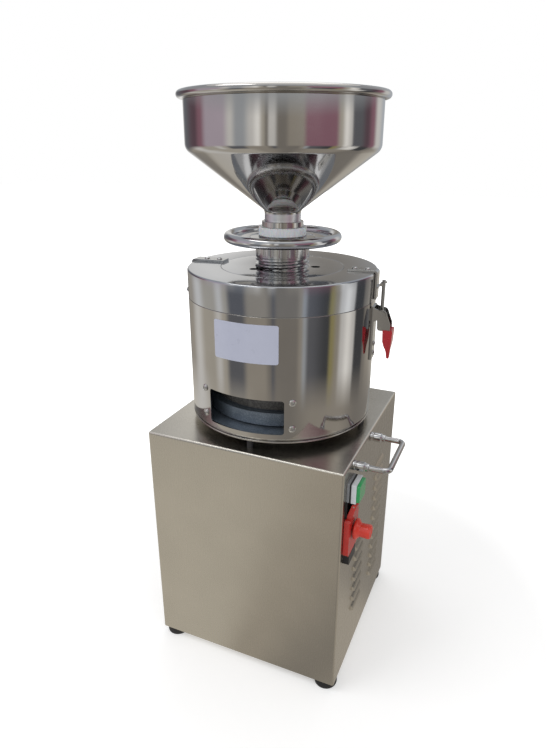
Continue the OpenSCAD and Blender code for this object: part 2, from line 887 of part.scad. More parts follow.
// Clamp flange over the lower stone, with the cone that spreads the nuts
module feed_cone() {
    z0 = lower_stone_top - stone_recess_h;
    color("#a7abb0") difference() {
        union() {
            translate([0, 0, z0]) cylinder(r = stone_recess_r - 0.5, h = cone_flange_h);
            translate([0, 0, z0 + cone_flange_h - eps])
                cylinder(r1 = stone_bore_r - 8, r2 = cone_tip_r, h = cone_h);
        }
        translate([0, 0, z0 - 1]) cylinder(r = journal_r, h = cone_flange_h + 1);
    }
}

// ---------------------------------------------------------------- drum

module each_spacer() {
    for (i = [0 : 3]) from_front(spacer_turn + 90 * i) translate([spacer_at_r, 0, 0]) children();
}

module drum_spacers() {
    color("#141416") each_spacer() translate([0, 0, cab_top]) cylinder(r = spacer_r, h = drum_gap);
}

module drum_base_plate() {
    color("#b4b6b8") translate([0, 0, drum_z0]) difference() {
        union() {
            cylinder(r = drum_r, h = base_plate_t - base_groove);
            cylinder(r = drum_r - 3, h = base_plate_t);
        }
        translate([0, 0, -1]) cylinder(r = shaft_r + 1, h = base_plate_t + 2);
    }
}

module outlet_cut(depth) {
    translate([0, -drum_r, outlet_z0 + outlet_h / 2]) rotate([90, 0, 0])
        linear_extrude(height = depth, center = true)
            round_rect([outlet_w, outlet_h], outlet_corner_r);
}

module each_outlet_screw() {
    for (s = [-1, 1], z = outlet_screw_z)
        from_front(s * outlet_screw_turn) translate([drum_r, 0, z]) children();
}

// Outline of a drum standing on a level, with a round lower corner, for revolving
module drum_side(r, z0, z1, corner) {
    translate([0, z0 + corner]) square([r, z1 - z0 - corner]);
    translate([0, z0]) square([r - corner, 2 * corner]);
    translate([r - corner, z0 + corner]) circle(corner);
}

module drum_shell() {
    z0 = drum_z0 + base_plate_t;
    color("#c3c4c4") difference() {
        rotate_extrude() difference() {
            drum_side(drum_r, z0, seam_z, drum_edge_r);
            drum_side(drum_r - drum_t, z0 + drum_floor_t, seam_z + 1, drum_edge_r - drum_t);
            translate([0, z0 - 1]) square([shaft_r + 1, drum_h]);
        }
        outlet_cut(60);
        each_outlet_screw() translate([-10, 0, 0]) rod_x(chute_screw_r, 20);
    }
}

// Cast floor of the drum, on which the butter runs to the outlet
module chamber_floor() {
    z0 = drum_z0 + base_plate_t + drum_floor_t;
    color("#76828e") difference() {
        translate([0, 0, z0]) cylinder(r = drum_r - drum_edge_r - 0.1, h = floor_z - z0);
        translate([0, 0, z0 - 1]) cylinder(r = seal_r, h = 30);
    }
}

module shaft_seal() {
    color("#202123") translate([0, 0, drum_z0 + base_plate_t + drum_floor_t])
        tube(seal_r, shaft_r + run_fit, seal_h);
}

module lid_seal() {
    r = drum_r - drum_t;
    color("#303234") translate([0, 0, seam_z - lid_seal_h]) tube(r, r - lid_seal_t, lid_seal_h);
}

module outlet_screws() {
    color("#c7cacc") each_outlet_screw()
        pan_screw_x(chute_screw_r, chute_head_r, chute_head_h, drum_t);
}

module label_plate() {
    color("#c9d6e2") intersection() {
        translate([0, 0, plate_z0 - 5]) tube(drum_r + plate_t, drum_r, plate_h + 10, $fn = fine_fn);
        from_front(plate_turn) translate([drum_r, 0, plate_z0 + plate_h / 2]) rotate([0, 90, 0])
            linear_extrude(height = 60, center = true)
                round_rect([plate_h, plate_w * 0.98], plate_corner_r);
    }
}

// ---------------------------------------------------------------- hinge

// Part of a knuckle barrel between two places along the hinge
module knuckle(y0, y1, r) {
    translate([hinge_x, (y0 + y1) / 2, hinge_z]) rod_y(r, y1 - y0);
}

module drum_hinge_leaf() {
    half = hinge_mid_w / 2 - knuckle_gap;
    z0 = hinge_z - hinge_leaf_drop;
    leaf_h = hinge_leaf_drop - knuckle_r - 1;
    color("#aeb0b2") at_hinge() difference() {
        union() {
            translate([drum_r - 2, -hinge_w / 2, z0]) cube([2 + hinge_leaf_t, hinge_w, leaf_h]);
            knuckle(-half, half, knuckle_r);
            profile_xz(2 * half) polygon([
                [drum_r - 1, z0 + leaf_h - 3], [drum_r + hinge_leaf_t, z0 + leaf_h - 3],
                [hinge_x + knuckle_r - 0.4, hinge_z - 1], [hinge_x, hinge_z + 1],
                [drum_r - 1, hinge_z - 2]]);
        }
        drum_form();
        knuckle(-hinge_w, hinge_w, hinge_pin_r);
    }
}

module hinge_pin() {
    color("#8e9092") at_hinge() {
        knuckle(-hinge_w / 2 - 1, hinge_w / 2 + 1, hinge_pin_r);
        for (s = [-1, 1]) translate([hinge_x, s * (hinge_w / 2 + 1.2), hinge_z])
            rod_y(hinge_pin_r + 1, 1.6);
    }
}

// A strap that lies on the lid, folds over its edge and runs down to a level
module lid_strap(x0, width, z_low) {
    fold = strap_t + 1.5;
    profile_xz(width) {
        translate([x0, lid_top]) square([drum_r + strap_t - fold - x0, strap_t]);
        translate([drum_r, z_low]) square([strap_t, lid_top + strap_t - fold - z_low]);
        intersection() {
            difference() {
                translate([drum_r + strap_t - fold, lid_top + strap_t - fold]) circle(fold);
                translate([drum_r + strap_t - fold, lid_top + strap_t - fold])
                    circle(fold - strap_t);
            }
            translate([drum_r + strap_t - fold - eps, lid_top + strap_t - fold - eps])
                square(fold + 1);
        }
    }
}

module lid_hinge_strap() {
    inner = hinge_mid_w / 2 + knuckle_gap;
    outer = hinge_w / 2;
    color("#aeb0b2") at_hinge() difference() {
        union() {
            lid_strap(hinge_strap_in, hinge_w, hinge_z + knuckle_r + 1.5);
            for (s = [-1, 1]) {
                translate([0, s * (inner + outer) / 2, 0]) {
                    translate([hinge_x, 0, hinge_z]) rod_y(knuckle_r, outer - inner);
                    profile_xz(outer - inner) polygon([
                        [drum_r, hinge_z + knuckle_r + 6],
                        [drum_r, hinge_z + knuckle_r + 0.5],
                        [hinge_x - knuckle_r + 0.4, hinge_z],
                        [hinge_x, hinge_z + knuckle_r - 0.4],
                        [drum_r + strap_t, hinge_z + knuckle_r + 5]]);
                }
            }
        }
        knuckle(-hinge_w, hinge_w, hinge_pin_r + run_fit);
        hinge_screw_at() strap_hole();
    }
}

// ---------------------------------------------------------------- lid

module lid_shell() {
    z0 = seam_z + seam_gap;
    r_in = drum_r - drum_t;
    lip_r = r_in - lid_seal_t - 0.6;
    color("#bfc0c1") rotate_extrude() {
        translate([r_in, z0]) square([drum_t, lid_top - lid_edge_r - z0]);
        translate([lid_plate_r + plate_seam, lid_top - lid_t])
            square([drum_r - lid_edge_r - lid_plate_r - plate_seam, lid_t]);
        intersection() {
            translate([drum_r - lid_edge_r, lid_top - lid_edge_r]) circle(lid_edge_r);
            translate([drum_r - lid_edge_r - eps, lid_top - lid_edge_r - eps]) square(lid_edge_r + 1);
        }
        translate([lip_r - spigot_lip_t, seam_z - spigot_drop])
            square([spigot_lip_t, lid_top - lid_t + eps - seam_z + spigot_drop]);
    }
}

module each_guide() {
    for (a = guide_turns) rotate([0, 0, a]) translate([guide_at_r, 0, 0]) children();
}

module lid_plate() {
    color("#b3b5b8") difference() {
        union() {
            translate([0, 0, lid_top - lid_t - eps]) cylinder(r = lid_plate_r, h = lid_t + eps);
            translate([0, 0, lid_top - plate_thick])
                cylinder(r = plate_flange_r, h = plate_thick - lid_t);
        }
        translate([0, 0, lid_top - 2 * plate_thick])
            cylinder(r = sleeve_r + run_fit, h = 3 * plate_thick);
        each_guide() translate([0, 0, lid_top - 2 * plate_thick])
            cylinder(r = guide_hole_r, h = 3 * plate_thick);
    }
}

// The catch on the lid: its end is turned out as a lip under the hook's finger
module keeper_strap() {
    color("#aeb0b2") at_latch() difference() {
        union() {
            lid_strap(keeper_in, keeper_w, keeper_low);
            translate([drum_r + strap_t - eps, -keeper_w / 2, lip_top - lip_t])
                cube([lip_out - drum_r - strap_t + eps, keeper_w, lip_t]);
        }
        keeper_screw_at() strap_hole();
    }
}

module keeper_screw_at() {
    for (x = [keeper_in + 8, keeper_in + 26]) translate([x, 0, lid_top]) children();
}

module hinge_screw_at() {
    for (x = [hinge_strap_in + 10, hinge_strap_in + 30])
        translate([x, 0, lid_top]) children();
}

module strap_hole() {
    translate([0, 0, -1]) cylinder(r = small_screw_r, h = strap_t + 2);
}

module strap_screw() {
    translate([0, 0, strap_t]) rotate([0, -90, 0])
        pan_screw_x(small_screw_r, small_head_r, small_head_h, strap_t);
}

module lid_screws() {
    color("#9b9ea1") {
        at_latch() keeper_screw_at() strap_screw();
        at_hinge() hinge_screw_at() strap_screw();
    }
}

// ---------------------------------------------------------------- toggle latch

module latch_base() {
    z0 = latch_base_z[0];
    z1 = latch_base_z[1];
    ear_low = latch_z - 10;
    rivet_in = cheek_in - 0.6;
    rivet_out = ear_in + ear_t + 0.6;
    ear_high = latch_z + 7;
    color("#a3a5a8") at_latch() difference() {
        union() {
            translate([drum_r - 2, -latch_base_w / 2, z0])
                cube([2 + latch_base_t, latch_base_w, z1 - z0]);
            for (s = [-1, 1]) translate([0, s * (ear_in + ear_t / 2), 0]) profile_xz(ear_t) {
                polygon([[drum_r, ear_low], [drum_r + latch_base_t, ear_low],
                         [latch_x + 4.8, latch_z - 2.5], [latch_x + 1, latch_z + 5],
                         [drum_r, ear_high + 3]]);
                translate([latch_x, latch_z]) circle(ear_round);
            }
            for (s = [-1, 1])
                translate([latch_x, s * (rivet_out + rivet_in) / 2, latch_z])
                    rod_y(latch_pin_r, rivet_out - rivet_in);
        }
        drum_form();
        each_latch_screw() translate([-2, 0, 0]) rod_x(small_screw_r, 12);
    }
}

module each_latch_screw() {
    for (z = [latch_base_z[0] + 8, latch_base_z[0] + 22])
        translate([drum_r, 0, z]) children();
}

module latch_screws() {
    color("#8d8f92") at_latch() each_latch_screw() translate([latch_base_t, 0, 0])
        pan_screw_x(small_screw_r, small_head_r, small_head_h, latch_base_t - 0.6);
}

// One cheek of the lever: round about its pivot, a lug for the hook, and a tail
module lever_cheek() {
    translate([latch_x, latch_z]) circle(7);
    translate([hook_x, hook_z]) circle(4);
    polygon([[latch_x - 6.6, latch_z + 2], [hook_x - 4, hook_z], [hook_x - 1, hook_z - 4],
             [latch_x + 4, tongue_z[1]], [latch_x + 4, tongue_z[0] + 6],
             [latch_x + 12, tongue_z[0] + 6], [latch_x + 13, tongue_z[1]],
             [latch_x + 12.5, hook_z + 6], [latch_x + 6.6, latch_z + 2]]);
}

module latch_lever() {
    color("#8f9194") at_latch() difference() {
        union() {
            for (s = [-1, 1]) translate([0, s * (cheek_in + cheek_t / 2), 0])
                profile_xz(cheek_t) lever_cheek();
            translate([latch_x + 6, -cheek_in - eps, tongue_z[0]])
                cube([tongue_t, 2 * cheek_in + 2 * eps, tongue_z[1] - tongue_z[0]]);
        }
        translate([latch_x, 0, latch_z]) rod_y(latch_pin_r + run_fit, 40);
        translate([hook_x, 0, hook_z]) rod_y(hook_pin_r, 40);
    }
}

// Red sleeve over the tail of the lever, thinner towards its tip
module latch_grip() {
    wall = 1.4;
    half = cheek_in + cheek_t + wall;
    color("#b2232a") at_latch() difference() {
        intersection() {
            profile_xz(2 * half) polygon([
                [latch_x + 2.6, grip_top], [latch_x + 3.2, tongue_z[0] + 4],
                [latch_x + 5, tongue_z[0] - 2], [latch_x + 8.2, grip_tip + 12],
                [latch_x + 9.4, grip_tip + 1.4], [latch_x + 10.4, grip_tip],
                [latch_x + 12.2, grip_tip], [latch_x + 13.2, grip_tip + 1.4],
                [latch_x + 13.9, grip_tip + 12], [latch_x + 15.6, tongue_z[0]],
                [latch_x + 16.5, grip_top - 3], [latch_x + 16, grip_top]]);
            rotate([0, 90, 0]) linear_extrude(height = 2 * drum_r) polygon([
                [-grip_top - 1, -half], [-tongue_z[0] + 2, -half + 0.8],
                [-grip_tip - 9, -half + 6.4], [-grip_tip, -half + 8.4],
                [-grip_tip, half - 8.4], [-grip_tip - 9, half - 6.4],
                [-tongue_z[0] + 2, half - 0.8], [-grip_top - 1, half]]);
        }
        for (s = [-1, 1]) translate([0, s * (cheek_in + cheek_t / 2), 0])
            profile_xz(cheek_t) lever_cheek();
        translate([latch_x + 6, -cheek_in - eps, tongue_z[0]])
            cube([tongue_t, 2 * cheek_in + 2 * eps, tongue_z[1] - tongue_z[0] + 5]);
    }
}

module hook_pivot() {
    color("#8d8f92") at_latch() translate([hook_x, 0, hook_z])
        rod_y(hook_pin_r, 2 * (cheek_in + cheek_t));
}

// Eye, rod and finger in one piece; the finger comes down over the keeper's lip
module latch_hook() {
    finger_z = lip_top + finger_gap;
    color("#9a9c9f") at_latch() difference() {
        union() {
            translate([hook_x, 0, hook_z]) {
                rod_y(hook_eye_r, hook_eye_w);
                cylinder(r = rod_r, h = rod_top - hook_z);
            }
            translate([finger_x, -keeper_w / 4, finger_z])
                cube([hook_x - finger_x, keeper_w / 2, finger_h]);
            translate([hook_x, 0, rod_top - 2.4]) rod_x(1.6, 4.2);
        }
        translate([hook_x, 0, hook_z]) rod_y(hook_pin_r + run_fit, 40);
    }
}

module hook_nut() {
    color("#8d8f92") at_latch() translate([hook_x, 0, hook_nut_z]) difference() {
        cylinder(r = hook_nut_r, h = hook_nut_h, $fn = 6);
        translate([0, 0, -1]) cylinder(r = rod_r, h = hook_nut_h + 2);
    }
}

// ---------------------------------------------------------------- adjuster

// Plate that holds the upper stone; its hub hangs on the sleeve and its bosses hold the pins
module stone_carrier() {
    hub_r = sleeve_r + hub_wall;
    boss_h = carrier_t + carrier_hub_h + boss_over;
    color("#8a8e92") translate([0, 0, carrier_z0]) difference() {
        union() {
            cylinder(r = carrier_r, h = carrier_t);
            cylinder(r = hub_r, h = carrier_t + carrier_hub_h);
            each_guide() cylinder(r = boss_r, h = boss_h);
        }
        translate([0, 0, -1]) cylinder(r = feed_r, h = carrier_t + 20);
        translate([0, 0, carrier_t + shoulder_h]) cylinder(r = sleeve_r + run_fit, h = boss_h);
        translate([0, 0, carrier_t + carrier_hub_h]) cylinder(r = hub_r - 1, h = boss_h);
        each_guide() translate([0, 0, boss_h - pin_depth])
            cylinder(r = guide_hole_r - run_fit, h = boss_h);
    }
}

module upper_stone() {
    color("#6e6a64") translate([0, 0, upper_stone_z0]) tube(stone_r, stone_eye_r, stone_h);
}

module guide_pins() {
    z0 = carrier_z0 + carrier_t + carrier_hub_h + boss_over - pin_depth;
    color("#9da1a5") each_guide() translate([0, 0, z0])
        cylinder(r = guide_hole_r - run_fit, h = lid_top - guide_sink - z0);
}

// Ring in the sleeve's groove that makes the carrier rise and sink with the sleeve
module thrust_ring() {
    color("#b08d45") translate([0, 0, groove_z0 + axial_play])
        tube(sleeve_r + hub_wall - 1.5, groove_r + 0.1, groove_h - 2 * axial_play);
}

module adjusting_sleeve() {
    z0 = sleeve_z0 + axial_play;
    color("#b6b8ba") difference() {
        union() {
            translate([0, 0, z0]) cylinder(r = sleeve_r, h = collar_z0 - z0);
            translate([0, 0, z0]) cylinder(r = sleeve_top_r, h = sleeve_top - z0);
        }
        translate([0, 0, groove_z0]) tube(sleeve_r + 1, groove_r, groove_h);
        translate([0, 0, z0 - 1]) cylinder(r = feed_r, h = sleeve_top);
        translate([0, 0, sleeve_top - socket_h]) cylinder(r = socket_r + run_fit, h = socket_h + 1);
    }
}

module knurled_collar() {
    r = sleeve_r - 0.1;
    color("#a9abae") translate([0, 0, collar_z0]) difference() {
        tube(r, sleeve_top_r, collar_h);
        for (i = [0 : flute_n - 1]) rotate([0, 0, i * 360 / flute_n])
            translate([r + flute_r - 1.2, 0, 2]) cylinder(r = flute_r, h = collar_h);
    }
}

module hand_wheel() {
    rim_r = wheel_r - wheel_tube_r;
    web_z = wheel_z - wheel_web_t;
    color("#cfd1d3") difference() {
        union() {
            translate([0, 0, wheel_hub_z0]) cylinder(r = wheel_hub_r, h = wheel_hub_h - 3);
            translate([0, 0, web_z]) cylinder(r = rim_r, h = wheel_web_t);
            translate([0, 0, wheel_z]) rotate_extrude()
                translate([rim_r, 0]) circle(wheel_tube_r);
        }
        translate([0, 0, wheel_hub_z0 - 1]) cylinder(r = sleeve_top_r, h = wheel_hub_h + 2);
    }
}

module nylon_nut() {
    color("#e6eaee") difference() {
        union() {
            translate([0, 0, sleeve_top]) cylinder(r = nut_flange_r, h = nut_flange_h);
            translate([0, 0, sleeve_top - nut_spigot_h]) cylinder(r = socket_r, h = nut_spigot_h);
        }
        translate([0, 0, sleeve_top - nut_spigot_h - 1])
            cylinder(r = neck_r + 2 * run_fit, h = nut_spigot_h + nut_flange_h + 2);
        for (i = [0 : nut_knurl_n - 1]) rotate([0, 0, i * 360 / nut_knurl_n])
            translate([nut_flange_r + 0.6, 0, sleeve_top + 1.5])
                cylinder(r = nut_knurl_r, h = nut_flange_h);
    }
}

// ---------------------------------------------------------------- hopper

// Outline of the hopper's wall; grow 0 is the outside and -wall the inside.
// The cone runs as a tangent into the arc below the straight wall.
module hopper_side(grow, z_low, z_high) {
    arc_x = hopper_r - hopper_bend_r;
    run = [arc_x - neck_r, wall_z0 - cone_z0];
    rise = atan2(run[1], run[0]) - asin(hopper_bend_r / norm(run));
    bend = hopper_bend_r + grow;
    polygon(concat(
        [[0, z_low], [neck_r + grow, z_low],
         [neck_r + grow, cone_z0 - grow * (1 - sin(rise)) / cos(rise)]],
        [for (i = [0 : bend_steps]) let (a = (90 - rise) * (i / bend_steps - 1))
            [arc_x + bend * cos(a), wall_z0 + bend * sin(a)]],
        [[hopper_r + grow, z_high], [0, z_high]]));
}

module hopper() {
    rim_z = hopper_top - hopper_rim_r;
    color("#c2c3c6") difference() {
        rotate_extrude() {
            hopper_side(0, nut_top - neck_drop, rim_z);
            translate([neck_r - eps, nut_top]) square([bead_r - neck_r + eps, bead_h]);
            translate([hopper_r + hopper_rim_out, rim_z]) circle(hopper_rim_r);
        }
        rotate_extrude() hopper_side(-hopper_t, nut_top - neck_drop - 1, hopper_top + 1);
    }
}

// ---------------------------------------------------------------- output

cabinet_shell();
rear_panel();
rear_screws();
base_tray();
feet();
cable_gland();
side_handle();
handle_ferrules();
switch_base();
switch_plate();
switch_gasket();
switch_housing();
start_button();
stop_button();
stop_flap();
stop_knob();
flap_pin();
motor_flange();
motor_housing();
motor_end_bell();
fan_cowl();
stator_core();
motor_bearings();
rotor_shaft();
rotor_core();
cooling_fan();
slinger_disc();
lower_stone();
feed_cone();
drum_shell();
drum_base_plate();
drum_spacers();
chamber_floor();
shaft_seal();
lid_seal();
outlet_screws();
label_plate();
drum_hinge_leaf();
hinge_pin();
latch_base();
latch_screws();
latch_lever();
latch_grip();
hook_pivot();
latch_hook();
hook_nut();
lid_shell();
lid_plate();
lid_hinge_strap();
keeper_strap();
lid_screws();
stone_carrier();
upper_stone();
guide_pins();
thrust_ring();
adjusting_sleeve();
knurled_collar();
hand_wheel();
nylon_nut();
hopper();
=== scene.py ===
"""Looks of a nut butter grinder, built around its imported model.

Every size below is in millimetres in the row frame: the origin is on the floor under the
grinding axis, +Z is up, the outlet faces -Y and the switch is on +X.
"""

import logging
import math
from dataclasses import dataclass, field
from enum import Enum
from typing import ClassVar, Iterable, Sequence

import bmesh
import bpy
import numpy as np
from mathutils import Matrix, Vector

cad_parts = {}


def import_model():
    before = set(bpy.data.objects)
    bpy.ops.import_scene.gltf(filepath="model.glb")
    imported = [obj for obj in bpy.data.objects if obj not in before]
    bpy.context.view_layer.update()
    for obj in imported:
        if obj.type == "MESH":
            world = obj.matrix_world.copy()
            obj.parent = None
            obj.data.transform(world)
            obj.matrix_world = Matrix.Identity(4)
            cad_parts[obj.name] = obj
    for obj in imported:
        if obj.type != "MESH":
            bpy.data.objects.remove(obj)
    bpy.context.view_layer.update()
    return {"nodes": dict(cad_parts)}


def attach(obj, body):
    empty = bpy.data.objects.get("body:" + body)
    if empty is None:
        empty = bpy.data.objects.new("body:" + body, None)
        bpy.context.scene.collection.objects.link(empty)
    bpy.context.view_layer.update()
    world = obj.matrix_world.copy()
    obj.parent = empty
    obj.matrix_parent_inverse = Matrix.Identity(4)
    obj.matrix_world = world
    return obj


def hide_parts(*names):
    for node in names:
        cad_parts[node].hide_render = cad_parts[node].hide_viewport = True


log = logging.getLogger("grinder")

MM = 0.001
SHARP = 35.0  # degrees from which an edge looks sharp
BROKEN = 40.0  # degrees from which an edge is broken
EDGE_STEPS = 2  # steps of a broken edge
WHITE = (1.0, 1.0, 1.0, 1.0)
BLACK = (0.0, 0.0, 0.0, 1.0)

Point = tuple[float, float]
Place = tuple[float, float, float]
Colour = tuple[float, float, float]
Socket = bpy.types.NodeSocket
Inputs = dict[int | str, object]


# ---------------------------------------------------------------- finishes

ALONG_GRAIN = 0.02  # fineness of scratches along the grain, as a share of that across it
ROUND_STEP = 1.6  # size of the circle on which turned scratches read their noise
ROUND_LEAN = 0.83  # how much a turned face's radius counts against its level
LEAST_RADIUS = 0.0005  # metres from the axis within which the turn isn't worked out


class Grain(Enum):
    """The way in which a metal surface was ground or turned."""

    ROUND = "round the upright axis"
    UPRIGHT = "up and down"
    LEVEL = "level"
    NONE = "none"


class Graph:
    """Nodes of a material or of the world, with short calls to add and join them."""

    def __init__(self, owner: bpy.types.Material | bpy.types.World,
                 output: str = "OutputMaterial", shader: str = "BsdfPrincipled") -> None:
        """Start with an output and a shader.

        Args:
            owner: the material or the world.
            output: the output's type.
            shader: the shader's type.
        """
        owner.use_nodes = True
        self.owner = owner
        self.nodes = owner.node_tree.nodes
        self.links = owner.node_tree.links
        self.nodes.clear()
        self.shader = self.add(shader)
        self.add(output, {0: self.shader.outputs[0]})

    def add(self, kind: str, inputs: Inputs | None = None, **values: object) -> bpy.types.Node:
        """Add a node, set its properties and feed its inputs.

        Args:
            kind: the node's type without the ShaderNode prefix.
            inputs: what goes into its inputs.
            values: properties of the node.

        Returns:
            The new node.
        """
        node = self.nodes.new("ShaderNode" + kind)
        for key, value in values.items():
            setattr(node, key, value)
        self.feed(node, inputs or {})
        return node

    def feed(self, node: bpy.types.Node, inputs: Inputs) -> None:
        """Join sockets to a node's inputs, or set the inputs' values.

        Args:
            node: the node.
            inputs: a socket or a plain value for each input, by its name or number.
        """
        for key, value in inputs.items():
            if isinstance(value, Socket):
                self.links.new(value, node.inputs[key])
            else:
                node.inputs[key].default_value = value

    def maths(self, operation: str, first: Socket | float, second: Socket | float = 0.0) -> Socket:
        """Return the result of a sum on two sockets or numbers."""
        return self.add("Math", {0: first, 1: second}, operation=operation).outputs[0]

    def place(self) -> Socket:
        """Return the socket that gives a point's place on the object."""
        return self.add("TexCoord").outputs["Object"]

    def seen(self) -> Socket:
        """Return a socket with 1 for camera, mirror and transmission rays and 0 for others."""
        rays = self.add("LightPath").outputs
        either = self.maths("MAXIMUM", rays["Is Camera Ray"], rays["Is Glossy Ray"])
        return self.maths("MAXIMUM", either, rays["Is Transmission Ray"])

    def grained(self, grain: Grain, fine: float) -> Socket:
        """Stretch the place along the grain.

        Args:
            grain: the way of the grain.
            fine: scratches to the metre across the grain.

        Returns:
            The socket with the stretched place.
        """
        place = self.place()
        if grain is Grain.ROUND:
            x, y, z = self.add("SeparateXYZ", {0: place}).outputs
            squares = [self.maths("MULTIPLY", part, part) for part in (x, y)]
            radius = self.maths("SQRT", self.maths("ADD", *squares))
            safe = self.maths("MAXIMUM", radius, LEAST_RADIUS)
            turn = [self.maths("MULTIPLY", self.maths("DIVIDE", part, safe), ROUND_STEP)
                    for part in (x, y)]
            across = self.maths("ADD", z, self.maths("MULTIPLY", radius, ROUND_LEAN))
            lines = self.maths("MULTIPLY", across, fine)
            return self.add("CombineXYZ", {0: turn[0], 1: turn[1], 2: lines}).outputs[0]
        along = fine * ALONG_GRAIN
        scale = {Grain.UPRIGHT: (fine, fine, along), Grain.LEVEL: (along, along, fine),
                 Grain.NONE: (fine, fine, fine)}[grain]
        return self.add("Mapping", {"Vector": place, "Scale": scale}).outputs[0]

    def noise(self, vector: Socket, scale: float, detail: float = 3.0) -> Socket:
        """Return the socket of a noise texture, which lies around a half."""
        node = self.add("TexNoise", {"Vector": vector, "Scale": scale, "Detail": detail})
        return node.outputs["Fac"]

    def spread(self, value: Socket, low: float, high: float,
               start: float = 0.3, end: float = 0.7) -> Socket:
        """Map a value from between start and end to between low and high."""
        return self.add("MapRange", {0: value, 1: start, 2: end, 3: low, 4: high}).outputs[0]

    def blend(self, first: Socket | Colour, second: Socket | Colour, factor: Socket) -> Socket:
        """Blend two colours.

        Args:
            first: the colour at factor 0, or a socket that gives it.
            second: the colour at factor 1, or a socket that gives it.
            factor: the socket that blends them.

        Returns:
            The socket with the colour.
        """
        ends = [part if isinstance(part, Socket) else (*part, 1.0) for part in (first, second)]
        node = self.add("Mix", {"A": ends[0], "B": ends[1], "Factor": factor}, data_type="RGBA")
        return node.outputs["Result"]

    def vary(self, colour: Colour, amount: float, pattern: Socket) -> Socket:
        """Make a colour darker and lighter by an amount along a pattern."""
        return self.blend(shade(colour, 1.0 - amount), shade(colour, 1.0 + amount),
                          self.spread(pattern, 0.0, 1.0))

    def bump(self, height: Socket, strength: float, distance: float) -> None:
        """Raise the surface by a height of up to a distance in millimetres."""
        node = self.add("Bump", {"Strength": strength, "Distance": distance * MM, "Height": height})
        self.feed(self.shader, {"Normal": node.outputs[0]})


def shade(colour: Colour, factor: float) -> Colour:
    """Return a colour made lighter or darker by a factor."""
    return tuple(min(1.0, part * factor) for part in colour)


@dataclass(frozen=True)
class Steel:
    """Metal that was ground, turned, plated or polished."""

    colour: Colour  # the metal's colour
    rough: Point = (0.16, 0.24)  # its lowest and highest roughness
    grain: Grain = Grain.NONE  # the way of its scratches
    fine: float = 1800.0  # scratches to the metre
    scratch: float = 0.08  # how strongly the scratches show
    cloud: float = 0.06  # how much its colour varies over a hand's width
    streak: float = 0.0  # how strongly highlights are drawn out across the grain
    clouds: float = 14.0  # clouds to the metre
    shares: Point = (0.6, 0.4)  # what scratches and clouds add to the roughness
    depth: float = 0.05  # depth of the scratches

    def make(self, graph: Graph) -> None:
        """Build the material.

        Args:
            graph: the material's nodes.
        """
        lines = graph.noise(graph.grained(self.grain, self.fine), 1.0, 4.0)
        clouds = graph.noise(graph.place(), self.clouds, 4.0)
        both = graph.maths("ADD", graph.maths("MULTIPLY", lines, self.shares[0]),
                           graph.maths("MULTIPLY", clouds, self.shares[1]))
        graph.feed(graph.shader, {"Base Color": graph.vary(self.colour, self.cloud, clouds),
                                  "Roughness": graph.spread(both, *self.rough), "Metallic": 1.0})
        if self.streak > 0.0:
            tangent = graph.add("Tangent", direction_type="RADIAL", axis="Z")
            graph.feed(graph.shader, {"Anisotropic": self.streak, "Anisotropic Rotation": 0.25,
                                      "Tangent": tangent.outputs[0]})
        graph.bump(lines, self.scratch, self.depth)


@dataclass(frozen=True)
class Moulded:
    """Plastic or rubber from a mould, or a turned piece of nylon."""

    colour: Colour  # the colour
    rough: Point = (0.3, 0.42)  # its lowest and highest roughness
    pebble: float = 0.15  # how strongly its fine texture shows
    fine: float = 1400.0  # texture grains to the metre
    coat: float = 0.0  # strength of a clear gloss on top
    glow: float = 0.0  # how much light goes into the surface
    vary: float = 0.09  # how much its colour varies over a finger's width
    wear: float = 45.0  # patches of wear to the metre
    depth: float = 0.04  # depth of the fine texture
    coat_rough: float = 0.12  # roughness of the clear gloss
    reach: float = 2.0  # how far light goes into the surface

    def make(self, graph: Graph) -> None:
        """Build the material.

        Args:
            graph: the material's nodes.
        """
        grains = graph.noise(graph.place(), self.fine, 2.0)
        wear = graph.noise(graph.place(), self.wear, 5.0)
        graph.feed(graph.shader, {"Base Color": graph.vary(self.colour, self.vary, wear),
                                  "Roughness": graph.spread(wear, *self.rough),
                                  "Coat Weight": self.coat, "Coat Roughness": self.coat_rough})
        if self.glow > 0.0:
            graph.feed(graph.shader, {"Subsurface Weight": self.glow,
                                      "Subsurface Scale": self.reach * MM})
        graph.bump(grains, self.pebble, self.depth)


@dataclass(frozen=True)
class Cast:
    """A cast or sintered surface with grains and pits."""

    colour: Colour  # the main colour
    fleck: Colour  # the colour of the grains
    metallic: float = 0.0  # how much of it is bare metal
    rough: Point = (0.5, 0.7)  # its lowest and highest roughness
    pits: float = 0.3  # how strongly the pits show
    fine: float = 700.0  # grains to the metre
    clouds: float = 30.0  # clouds to the metre
    depth: float = 0.25  # depth of the pits

    def make(self, graph: Graph) -> None:
        """Build the material.

        Args:
            graph: the material's nodes.
        """
        cells = graph.add("TexVoronoi", {"Scale": self.fine, "Vector": graph.place()})
        clouds = graph.noise(graph.place(), self.clouds, 5.0)
        grains = graph.maths("MULTIPLY", clouds, cells.outputs["Distance"])
        colour = graph.blend(self.colour, self.fleck, graph.spread(grains, 0.0, 1.0, 0.1, 0.5))
        graph.feed(graph.shader, {"Base Color": colour, "Metallic": self.metallic,
                                  "Roughness": graph.spread(clouds, *self.rough)})
        graph.bump(cells.outputs["Distance"], self.pits, self.depth)


Finish = Steel | Moulded | Cast

